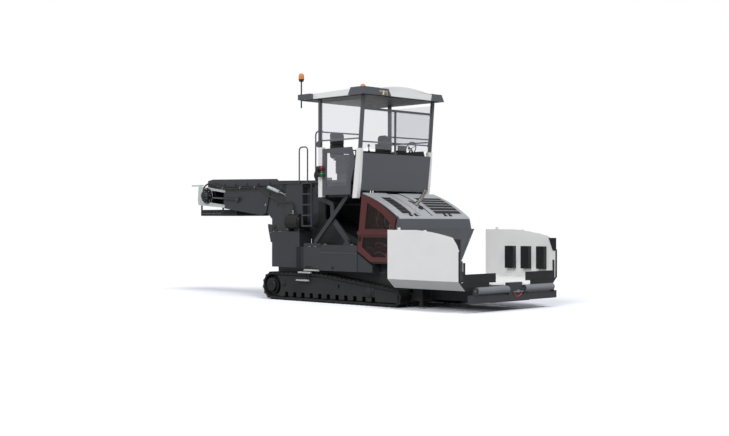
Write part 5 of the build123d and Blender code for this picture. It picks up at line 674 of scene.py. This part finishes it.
# Tank beside the ladder: rolled steel with pressed domed ends, strapped down on two
# saddles. A round lamp in its rubber ring sits at the edge of the box top.
TANK_AXIS = (-1045, 1920)
TANK_SPAN = (-988, -412)
TANK_BULGE, TANK_DOME = 183, 90
STRAP_XS = (-860, -480)
SADDLE_Y, SADDLE_HALF_LENGTH = (-1130, -960), 30
dome = [(TANK_SPAN[0] + TANK_DOME * (1 - math.cos(a)), TANK_BULGE * math.sin(a))
        for a in np.linspace(0.12, np.pi / 2, 9)]
far_dome = [(TANK_SPAN[0] + TANK_SPAN[1] - x, r) for x, r in dome[::-1]]
tank = [turned(dome + far_dome, (0, *TANK_AXIS), (1, 0, 0), 56)]
for strap_x in STRAP_XS:
    tank.append(turned([(-22, 180), (-20, 187), (20, 187), (22, 180)], (strap_x, *TANK_AXIS), (1, 0, 0), 56))
make_piece("side_tank", tank, tank_brown)
saddles = [outline_plate(oblong(strap_x - SADDLE_HALF_LENGTH, strap_x + SADDLE_HALF_LENGTH, *SADDLE_Y),
                         1680.3, 1752, 4, "z") for strap_x in STRAP_XS]
make_piece("tank_saddles", saddles, dark_slate)
LAMP_SPOT, LAMP_DIRECTION = (-923, -1060, 1738), (0.45, -1, 0.1)
ring = turned([(-40, 44), (-6, 60), (20, 60), (26, 52), (26, 40)], LAMP_SPOT, LAMP_DIRECTION, 32)
make_piece("round_lamp_ring", [ring], black_plastic)
dial = turned([(18, 41), (27, 41), (36, 30), (40, 10)], LAMP_SPOT, LAMP_DIRECTION, 32)
make_piece("round_lamp_glass", [dial], zinc)

# Hose bundle of the head drum's motor: it leaves the motor, runs under the boom's
# flange in three clamps, hangs free past the hinge and ends at the deck's cabinet.
HOSE_ROUTE = ((-4672, -815, 2712), (-4640, -808, 2850), (-4490, -800, 2932), (-4303, -798, 2932),
              (-4060, -798, 2862), (-3843, -798, 2812), (-3393, -798, 2790), (-2950, -798, 2800),
              (-2520, -798, 2806), (-2365, -802, 2780), (-2065, -806, 2626), (-1708, -815, 2463),
              (-1418, -845, 2395), (-1150, -884, 2400), (-985, -892, 2330), (-940, -890, 2190))
HOSE_RADIUS = 21
# Each: x, z of a clamp
CLAMPS = ((-3843, 2812), (-3120, 2796), (-2520, 2806))
CLAMP_TOP_Z = 2844
hose_shell = tube(smooth_line(HOSE_ROUTE, 14), HOSE_RADIUS, 16)
hose = make_piece("boom_hose", [hose_shell], hose_cover, None)
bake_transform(hose)
clamps = []
for clamp_x, clamp_z in CLAMPS:
    clamps.append(turned([(-16, 27), (-14, 30), (14, 30), (16, 27)], (clamp_x, -798, clamp_z),
                         (1, 0, 0.02), 24))
    clamps.append(outline_plate(oblong(clamp_x - 14, clamp_x + 14, clamp_z + 18, CLAMP_TOP_Z),
                                -806, -760, 3, "y"))
make_piece("hose_clamps", clamps, zinc, "boom")
port = [turned([(0, 26), (40, 26), (44, 34), (66, 34), (70, 26)], (-940, -890, 2130), (0, 0, 1), 6),
        outline_plate(oblong(-985, -895, -910, -851), 2112, 2134, 4, "z")]
make_piece("hose_port", port, zinc)

# Belt tensioners beside the forks: a threaded rod with its nuts runs from the drum's
# bearing through a tube to a lug on the side plate.
TENSION_Y, TENSION_DIRECTION = 752, (1, 0, -0.06)
ROD_FOOT_X, ROD_FOOT_Z = -4330, 2566
TENSION_LUG = ((-3345, 2440), (-3225, 2452), (-3225, 2560), (-3345, 2552))
for hand, side in SIDES.items():
    rods = [turned([(0, 15), (430, 15)], (ROD_FOOT_X, side * TENSION_Y, ROD_FOOT_Z), TENSION_DIRECTION, 20)]
    for nut_x in (-4060, -3945):
        nut_z = ROD_FOOT_Z + TENSION_DIRECTION[2] * (nut_x - ROD_FOOT_X)
        rods.append(turned([(0, 30), (24, 30)], (nut_x, side * TENSION_Y, nut_z), TENSION_DIRECTION, 6))
    make_piece(f"tension_rod_{hand}", rods, zinc, "boom")
    holders = [turned([(0, 27), (4, 30), (556, 30), (560, 27)], (-3888, side * TENSION_Y, 2540),
                      TENSION_DIRECTION, 28),
               side_plate(TENSION_LUG, side, 717, 792, 6)]
    make_piece(f"tension_tube_{hand}", holders, slate, "boom")

# Cable chain under the boom: short black moulded links, snapped to each other in two
# rows and laid on the tray, with a cross bar at each pair.
LINK_COUNT, LINK_PITCH, LINK_REAR_X = 22, 67, -5040
LINK_SHAPE = ((0, 2152), (58, 2152), (64, 2176), (64, 2222), (54, 2244), (4, 2244), (-2, 2222), (-2, 2176))
links = []
for number in range(LINK_COUNT):
    link_x = LINK_REAR_X + number * LINK_PITCH
    for low_y, high_y in ((-556, -500), (500, 556)):
        links.append(outline_plate([(link_x + x, z) for x, z in LINK_SHAPE], low_y, high_y, 5, "y"))
    links.append(outline_plate(oblong(link_x + 8, link_x + 50, 2160, 2236), -500, 500, 4, "y"))
make_piece("cable_chain", links, black_plastic, "boom")

# Head drum's motors: a stepped cast cover on each side, with one ring of bolts through
# it and a second through the fork.
MOTOR_X, MOTOR_Y, MOTOR_Z = -4592, 842, 2616
MOTOR_PROFILE = ((-30, 128), (0, 128), (8, 120), (14, 92), (34, 86), (40, 60), (52, 52), (56, 30))
MOTOR_BOLTS = 9
# Each ring: radius, distance from the middle plane, bolt size
MOTOR_RINGS = ((104, 851, 13), (180, 790, 15))
for hand, side in SIDES.items():
    cover = turned(MOTOR_PROFILE, (MOTOR_X, side * MOTOR_Y, MOTOR_Z), (0, side, 0), 48)
    bolts = []
    for step in range(MOTOR_BOLTS):
        angle = 2 * math.pi * step / MOTOR_BOLTS
        for radius, out_y, size in MOTOR_RINGS:
            spot = (MOTOR_X + radius * math.cos(angle), side * out_y, MOTOR_Z + radius * math.sin(angle))
            bolts += bolt(spot, (0, side, 0), size)
    make_piece(f"motor_cover_{hand}", [cover], dark_slate, "boom")
    make_piece(f"motor_bolts_{hand}", bolts, zinc, "boom")

# Liners on the side walls of the climbing conveyor, behind the scissors: dark folded
# plate, bolted on, down to the tops of the boxes.
LINER_LOW = ((-478, 1312), (1400, 1312), (1400, 1350), (16, 1980), (-236, 1980), (-478, 1712))
LINER_HIGH = oblong(-236, 14, 1978, 2850)
walls = []
for side in SIDES.values():
    walls.append(side_plate(LINER_LOW, side, 692, 702, 2))
    walls.append(side_plate(LINER_HIGH, side, 692.5, 701.5, 2))
make_piece("well_walls", walls, dark_slate)

# Push rollers' end caps: a bearing housing with its bright ring and a black seal, pressed
# into both ends of each roller.
ROLLER_X, ROLLER_Z = 5245, 470
for hand, side in SIDES.items():
    rings, seals = [], []
    for end_y, way in ((290, -1), (1330, 1)):
        spot, outward = (ROLLER_X, side * end_y, ROLLER_Z), (0, side * way, 0)
        rings.append(turned([(-6, 79), (-4, 79.6), (1, 79.6), (3, 60), (2, 52)], spot, outward, 40))
        seals.append(turned([(0, 46), (3.4, 46), (4.2, 36), (4.4, 20.5)], spot, outward, 32))
    make_piece(f"roller_rings_{hand}", rings, zinc, f"push_roller_{hand}")
    make_piece(f"roller_seals_{hand}", seals, black_plastic, f"push_roller_{hand}")

# Towing hoop: a bent round bar in red enamel, hung on a pin through a clasp on the middle
# plate of the push beam.
HOOP_Y, HOOP_HALF_WIDTH, HOOP_Z, HOOP_DROP = 65, 125, 405, 100
hoop = [(5268 + 22 * math.sin(a), HOOP_Y + HOOP_HALF_WIDTH * math.cos(a), HOOP_Z + HOOP_DROP * math.sin(a))
        for a in np.linspace(np.pi, 2 * np.pi, 15)]
make_piece("tow_hoop", [tube(smooth_line(hoop, 4), 13, 16)], hoop_red, "push_beam")
clasp = [outline_plate(oblong(20, 112, 384, 446), 5251, 5276, 4, "x"),
         turned([(-170, 14), (170, 14)], (5270, HOOP_Y, 410), (0, 1, 0), 20)]
make_piece("hoop_clasp", clasp, roller_grey, "push_beam")

# Hubs of the tracks: stepped cast covers with a ring of bolts, and the small boss of the
# tensioner. They stand in the frame's outer face.
# Each: x, z, radius
HUB_SPOTS = ((-1370, 360, 172), (2020, 330, 150))
HUB_Y, HUB_BOLTS, HUB_BOLT_RING, HUB_BOLT_Y = 1231, 12, 0.84, 1245
BOSS_X, BOSS_Z = -891, 410
for hand, side in SIDES.items():
    covers_and_shade_sheets, bolts = [], []
    for hub_x, hub_z, hub_radius in HUB_SPOTS:
        profile = [(-20, hub_radius), (8, hub_radius), (14, hub_radius - 8), (16, hub_radius * 0.72),
                   (30, hub_radius * 0.68), (34, hub_radius * 0.3), (38, 20)]
        covers_and_shade_sheets.append(turned(profile, (hub_x, side * HUB_Y, hub_z), (0, side, 0), 56))
        ring_radius = hub_radius * HUB_BOLT_RING
        for step in range(HUB_BOLTS):
            angle = 2 * math.pi * step / HUB_BOLTS
            bolts += bolt((hub_x + ring_radius * math.cos(angle), side * HUB_BOLT_Y,
                           hub_z + ring_radius * math.sin(angle)), (0, side, 0), 11)
    covers_and_shade_sheets.append(turned([(-10, 50), (18, 50), (24, 42), (24, 20)], (BOSS_X, side * HUB_Y, BOSS_Z),
                         (0, side, 0), 32))
    make_piece(f"hub_covers_{hand}", covers_and_shade_sheets, dark_slate)
    make_piece(f"hub_bolts_{hand}", bolts, track_steel)

# Cheeks that close the nose's ends behind the doors' front edges, bent from the same
# grey sheet and welded in.
CHEEK = ((2893, 1996), (2900, 2040), (2944, 2014), (2977, 1905), (3008, 1752), (2838, 1752))
make_piece("nose_cheeks", both_plates(CHEEK, 1214, 1221, 1.5), panel_grey)

# Roof: the white rim of the pressed tray, folded down round its edge, and a black sheet
# under it: painted shade of the roof's underside.
ROOF_RIM_Y, ROOF_RIM_LOW_Z = 1294, 4842
ROOF_CROWN_Z, ROOF_FALL, ROOF_EDGE_Z, ROOF_HALF_WIDTH = 5085, 190, 4992, 1300
ROOF_SIDE = ((-198, 4842), (1958, 4842), (1958, 4990), (1500, 4990), (300, 4964), (-198, 4950))
fascia = [(y, max(ROOF_CROWN_Z - ROOF_FALL * (y / ROOF_HALF_WIDTH) ** 2 + 2, ROOF_EDGE_Z))
          for y in np.linspace(-ROOF_RIM_Y, ROOF_RIM_Y, 33)]
fascia += [(ROOF_RIM_Y, ROOF_RIM_LOW_Z), (-ROOF_RIM_Y, ROOF_RIM_LOW_Z)]
rims = [outline_plate(fascia, 1958.5, 1966, 2, "x")]
make_piece("roof_rim", rims + both_plates(ROOF_SIDE, 1294, 1303, 2), white_enamel, "platform")
# Black sheet under the roof: painted shade of its underside.
underside_shade = [outline_plate(oblong(-180, 1945, -1285, 1285), 4820, 4829, 2, "z")]
make_piece("roof_underside_shade", underside_shade, black_plastic, "platform")

# Tail of the trough: black rubber packing bars under its flanges, and flame-cut steel
# hooks at the rear of the boxes.
PACKING = oblong(-1970, -484, 1680.4, 1699.6)
HOOK = ((-1664, 1861), (-1560, 1854), (-1502.5, 1772), (-1502.5, 1400), (-1560, 1412), (-1655, 1760))
make_piece("tail_packing", both_plates(PACKING, 676, 704, 1), black_plastic)
make_piece("rear_hooks", both_plates(HOOK, 1060, 1098, 4), slate)

# Side boxes: black sheets behind the rear box, painted shade of the recess there, the
# folded ridge along the front box's side and its front edge in a lighter grey, a painted
# highlight where they catch the light, and the zinc-plated tabs that its lid hangs on.
RECESS_SHADE_WIDE, RECESS_SHADE_NARROW = oblong(-481, -300, 802, 1309), oblong(-262, -236, 806, 1306)
RIDGE, RIDGE_END = oblong(416, 1640, 1180, 1196), oblong(1632, 1640, 764, 1366)
# Each: rear x, y of the box's side, z of the foot
TABS = ((-60, 1200, 1312), (130, 1200, 1312), (505, 1228, 1371), (1405, 1228, 1371))
TAB_LENGTH, TAB_HEIGHT = 90, 22
# Black sheets flush on the box side: painted shade of a recess.
covers_and_shade_sheets = both_plates(RECESS_SHADE_WIDE, 1200.4, 1206, 2) + both_plates(RECESS_SHADE_NARROW, 1200.4, 1204, 1)
make_piece("recess_shade_sheets", covers_and_shade_sheets, black_plastic)
ridge_highlights, tabs = [], []
for side in SIDES.values():
    # The ridge strips are a lighter grey than the box: a painted highlight on the crease and the front edge.
    ridge_highlights.append(side_plate(RIDGE, side, 1250, 1256, 2))
    ridge_highlights.append(side_plate(RIDGE_END, side, 1228, 1254, 1))
    for tab_x, tab_y, tab_z in TABS:
        tabs.append(side_plate(oblong(tab_x, tab_x + TAB_LENGTH, tab_z, tab_z + TAB_HEIGHT), side,
                               tab_y - 40, tab_y - 4, 4))
make_piece("box_ridge_highlights", ridge_highlights, panel_grey)
make_piece("box_tabs", tabs, zinc)

# Latches: a moulded black plate with a push button on each door, and the round lock of
# each side box.
LATCH_PLATE, LATCH_BUTTON = oblong(1706, 1786, 1468, 1572), ((0, 20), (14, 20), (18, 12))
LOCK_PROFILE = ((-4, 36), (6, 36), (10, 30), (10, 16), (4, 12))
for hand, side in SIDES.items():
    latch = [side_plate(LATCH_PLATE, side, 1252.5, 1266, 5),
             turned(LATCH_BUTTON, (1746, side * 1264, 1530), (0, side, 0), 24)]
    make_piece(f"door_latch_{hand}", latch, black_plastic, f"door_{hand}")
    lock = turned(LOCK_PROFILE, (843, side * 1252, 831), (0, side, 0), 32)
    make_piece(f"box_lock_{hand}", [lock], black_plastic)

# Trough at the boom's hinge: zinc-plated caps on the pivots, a bolt in each hook, and
# the black rubber grommets in the trough's sides.
pivots = []
for side in SIDES.values():
    pivots.append(turned([(-6, 34), (8, 34), (12, 28), (12, 10)], (-2192, side * 720, 2350),
                         (0, side, 0), 32))
    pivots.append(turned([(-4, 16), (6, 16), (9, 10)], (-1551, side * 1101, 1640), (0, side, 0), 6))
make_piece("pivot_caps", pivots, zinc)
ports = [turned([(-4, 26), (2, 26), (3, 18)], (-1762, side * 691, 2338), (0, side, 0), 28)
         for side in SIDES.values()]
make_piece("trough_ports", ports, black_plastic)

# Engine details that glimmer through the doors' mesh: coolant hoses in pale rubber,
# hot pipes, and the round filter can.
# Each lying pipe: its height, how far it bows out. Each standing pipe: its x, its top
LYING_PIPES = ((1180, 0), (1290, 60), (1400, -40), (1930, 30))
STANDING_PIPES = ((1990, 2280), (2080, 2240), (2200, 2180), (2330, 2060))
hot, pale, cans = [], [], []
for side in SIDES.values():
    for row, (low_z, reach) in enumerate(LYING_PIPES):
        line = smooth_line([(1900, side * 900, low_z), (2120, side * (1010 + reach), low_z + 40),
                            (2380, side * (960 - reach), low_z - 30), (2640, side * 880, low_z + 30)], 8)
        (hot if row % 2 else pale).append(tube(line, 24 + 4 * row, 14))
    for row, (pipe_x, top_z) in enumerate(STANDING_PIPES):
        line = smooth_line([(pipe_x, side * 820, 1760), (pipe_x + 30, side * 1040, 1850),
                            (pipe_x + 60, side * 1080, 2000), (pipe_x + 20, side * 980, top_z - 60)], 8)
        (pale if row % 2 else hot).append(tube(line, 20, 12))
    cans.append(turned([(0, 70), (8, 82), (300, 82), (312, 76), (320, 40)], (2440, side * 900, 1560),
                       (0, 0, 1), 40))
make_piece("hot_pipes", hot, rust_pipe)
make_piece("coolant_hoses", pale, pale_hose)
make_piece("filter_cans", cans, white_enamel)

# Rail inside the front screen: a steel tube between two flanges that are screwed to the
# posts. A moulded hose reel on its plate stands behind the right seat.
RAIL_X, RAIL_Z, RAIL_HALF_LENGTH, RAIL_RADIUS = 1698, 3772, 1166, 17
REEL_PROFILE = ((-66, 124), (-58, 128), (-52, 124), (-50, 82), (50, 82), (52, 124), (58, 128), (66, 124))
rail = [tube(np.array([(RAIL_X, y, RAIL_Z) for y in np.linspace(-RAIL_HALF_LENGTH, RAIL_HALF_LENGTH, 12)]),
             RAIL_RADIUS, 18)]
rail += [turned([(-8, 30), (-6, 34), (6, 34), (8, 30)], (RAIL_X, side * 1158, RAIL_Z), (0, 1, 0), 28)
         for side in SIDES.values()]
make_piece("front_rail", rail, panel_grey, "platform")
reel = [turned(REEL_PROFILE, (196, -1068, 3032), (0, 1, 0), 48),
        outline_plate(oblong(120, 272, -1120, -1016), 2900.3, 2912, 3, "z")]
make_piece("hose_reel", reel, black_plastic, "platform")

# Operator's stations: a screen in its housing, a lever with its knob and a row of keys
# on each console, a moulded pedestal, arm rests, and bellows under the seats.
CONSOLE_TOP_Z = 3559
LEVER_PROFILE = ((0, 34), (10, 30), (26, 20), (40, 12), (110, 10), (118, 26), (150, 30), (172, 22), (178, 8))
KEY_COUNT, KEY_PITCH, FIRST_KEY_Y = 6, 36, 820
PLEAT_COUNT, PLEAT_PITCH, PLEAT_LOW_Z = 9, 36, 3060
boxes, glass, bright, pleats = [], [], [], []
for side in SIDES.values():
    boxes.append(outline_plate(oblong(side * 250, side * 520, 3562, 3745), 1520, 1566, 8, "x"))
    glass.append(outline_plate(oblong(side * 268, side * 502, 3582, 3728), 1515, 1520.6, 1, "x"))
    boxes.append(turned(LEVER_PROFILE, (1500, side * 700, CONSOLE_TOP_Z), (-0.08, 0, 1), 24))
    for number in range(KEY_COUNT):
        key_y = side * (FIRST_KEY_Y + KEY_PITCH * number)
        bright.append(turned([(0, 12), (8, 12), (11, 8)], (1470, key_y, CONSOLE_TOP_Z), (0, 0, 1), 16))
    boxes.append(outline_plate(oblong(640, 1010, side * 1072, side * 1132), 3640, 3700, 14, "z"))
    boxes.append(tube(smooth_line([(660, side * 1080, 3460), (640, side * 1096, 3560),
                                   (680, side * 1100, 3650)], 8), 18, 14))
    boxes.append(outline_plate(oblong(1020, 1330, side * 560, side * 900), 2901, 3230, 18, "z"))
    for number in range(PLEAT_COUNT):
        low_z = PLEAT_LOW_Z + PLEAT_PITCH * number
        pleats.append(outline_plate(oblong(672, 1028, side * 642, side * 998), low_z, low_z + PLEAT_PITCH - 1,
                                    15, "z"))
    boxes.append(outline_plate(oblong(640, 1070, side * 610, side * 1030), 3372, 3399, 6, "z"))

# The steering wheel stands at the left station: a moulded rim on three spokes, and its
# column from the console. Rim: P(a) = hub + (58 sin a, 170 cos a, 160 sin a).
WHEEL_HUB = np.array((1402, 860, 3700))
WHEEL_REACH = np.array((58, 170, 160))
SPOKE_POINTS = (4, 20, 36)
turns = np.linspace(0, 2 * np.pi, 48, endpoint=False)
wheel = WHEEL_HUB + WHEEL_REACH * np.stack([np.sin(turns), np.cos(turns), np.sin(turns)], axis=1)
boxes.append(tube(wheel, 13, 14, closed=True))
boxes.append(tube(smooth_line([(1480, 860, 3556), (1440, 860, 3640), WHEEL_HUB], 8), 22, 16))
boxes += [tube(np.array([WHEEL_HUB, (wheel[k] + WHEEL_HUB) / 2, wheel[k]]), 9, 10) for k in SPOKE_POINTS]
make_piece("station_housings", boxes, black_plastic, "platform")
make_piece("station_screens", glass, screen_glass, "platform")
make_piece("station_keys", bright, zinc, "platform")
make_piece("seat_bellows", pleats, rubber, "platform")

# Seats. Cushion and back are foam under sewn black vinyl: cut a little small, remeshed,
# blown up by the cloth's pressure, held within the seat's room, then quilted by seams.
vinyl = finish("black_vinyl", ("#19191a", "#222223"), 220, (0.45, 0.58), 3, 0.25, coat=0.1, sheen=0.15)
VOXEL = 0.008
CLOTH_FRAMES = 20
CLOTH_PRESSURE = 4.0
SWELL_CAP = 0.012
SEAM_DEPTH, SEAM_WIDTH = 0.007, 0.011
SEAT_Y = (592, 1048)
EDGE_ROOM = 0.012
CUSHION_SEAM_INSET, BACK_SEAM_INSET = 0.09, 0.08


def rounded(low, high, radius, steps=6):
    """Corners of a rectangle rounded by arcs: c + r * (cos a, sin a), a through a quarter turn."""
    centres = ((high[0] - radius, high[1] - radius, 0), (low[0] + radius, high[1] - radius, 1),
               (low[0] + radius, low[1] + radius, 2), (high[0] - radius, low[1] + radius, 3))
    return [(x + radius * math.cos((q + t) * math.pi / 2), y + radius * math.sin((q + t) * math.pi / 2))
            for x, y, q in centres for t in np.linspace(0, 1, steps)]


def read_vectors(mesh, name):
    """A vector of every vertex of a mesh, as rows."""
    flat = np.empty(3 * len(mesh.vertices))
    mesh.vertices.foreach_get(name, flat)
    return flat.reshape(-1, 3)


def stuffed(name, shell, room, seams):
    """A padded piece: cloth swollen from the cut shape, each point moved by SWELL_CAP at
    most, then pressed in along the seams by SEAM_DEPTH * exp(-(d / SEAM_WIDTH)^2)."""
    cut = make_piece(name + "_cut", [shell], vinyl, None)
    even = cut.modifiers.new("even", "REMESH")
    even.mode = "VOXEL"
    even.voxel_size = VOXEL
    mesh = bpy.data.meshes.new_from_object(cut.evaluated_get(bpy.context.evaluated_depsgraph_get()))
    bpy.data.objects.remove(cut)
    piece = bpy.data.objects.new(name, mesh)
    bpy.context.collection.objects.link(piece)
    start = read_vectors(mesh, "co")
    cloth = piece.modifiers.new("cloth", "CLOTH")
    cloth.settings.use_pressure = True
    cloth.settings.uniform_pressure_force = CLOTH_PRESSURE
    cloth.settings.effector_weights.gravity = 0
    cloth.point_cache.frame_end = CLOTH_FRAMES
    for frame_number in range(1, CLOTH_FRAMES + 1):
        bpy.context.scene.frame_set(frame_number)
    blown_mesh = piece.evaluated_get(bpy.context.evaluated_depsgraph_get()).to_mesh()
    blown, normals = read_vectors(blown_mesh, "co"), read_vectors(blown_mesh, "normal")
    piece.modifiers.remove(cloth)
    bpy.context.scene.frame_set(1)
    moved = blown - start
    length = np.linalg.norm(moved, axis=1)[:, None]
    moved *= np.minimum(1.0, SWELL_CAP / np.maximum(length, 1e-9))
    points = start + moved
    for axis, value in seams:
        away = np.abs(points[:, axis] - value)
        points -= normals * (SEAM_DEPTH * np.exp(-(away / SEAM_WIDTH) ** 2))[:, None]
    points = np.clip(points, np.array(room[0]), np.array(room[1]))
    mesh.vertices.foreach_set("co", points.ravel())
    mesh.polygons.foreach_set("use_smooth", [True] * len(mesh.polygons))
    mesh.materials.clear()
    mesh.materials.append(vinyl)
    mesh.update()
    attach(piece, "platform")
    return piece


for hand, side in SIDES.items():
    low_y, high_y = sorted(side * y for y in SEAT_Y)
    near, far = low_y * MILLIMETRE, high_y * MILLIMETRE
    cushion = stuffed(f"seat_cushion_{hand}",
                      outline_plate(rounded((612, low_y), (1088, high_y), 60), 3404, 3488, 30, "z"),
                      ((0.60, near - EDGE_ROOM, 3.4002), (1.10, far + EDGE_ROOM, 3.505)),
                      ((0, 0.76), (0, 0.92), (1, near + CUSHION_SEAM_INSET), (1, far - CUSHION_SEAM_INSET)))
    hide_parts(f"seat_{hand}")
    stuffed(f"seat_back_{hand}",
            outline_plate(rounded((low_y, 3408), (high_y, 4066), 95), 500, 586, 30, "x"),
            ((0.49, near - EDGE_ROOM, 3.4002), (0.598, far + EDGE_ROOM, 4.08)),
            ((2, 3.60), (2, 3.76), (2, 3.90), (1, near + BACK_SEAM_INSET), (1, far - BACK_SEAM_INSET)))

# Fasteners along the bulkhead's seal bars: zinc-plated bolts on washers, evenly spaced up
# both slanting edges.
SEAL_X, SEAL_INSET = 3024.5, 24
SEAL_LOW, SEAL_HIGH = (530, 500), (1320, 1750)
bolts = []
for side in SIDES.values():
    for share in np.linspace(0.1, 0.96, 12):
        y = side * (SEAL_LOW[0] + (SEAL_HIGH[0] - SEAL_LOW[0]) * share - SEAL_INSET)
        bolts += bolt((SEAL_X, y, SEAL_LOW[1] + (SEAL_HIGH[1] - SEAL_LOW[1]) * share), (1, 0, 0), 11)
make_piece("seal_bolts", bolts, zinc)
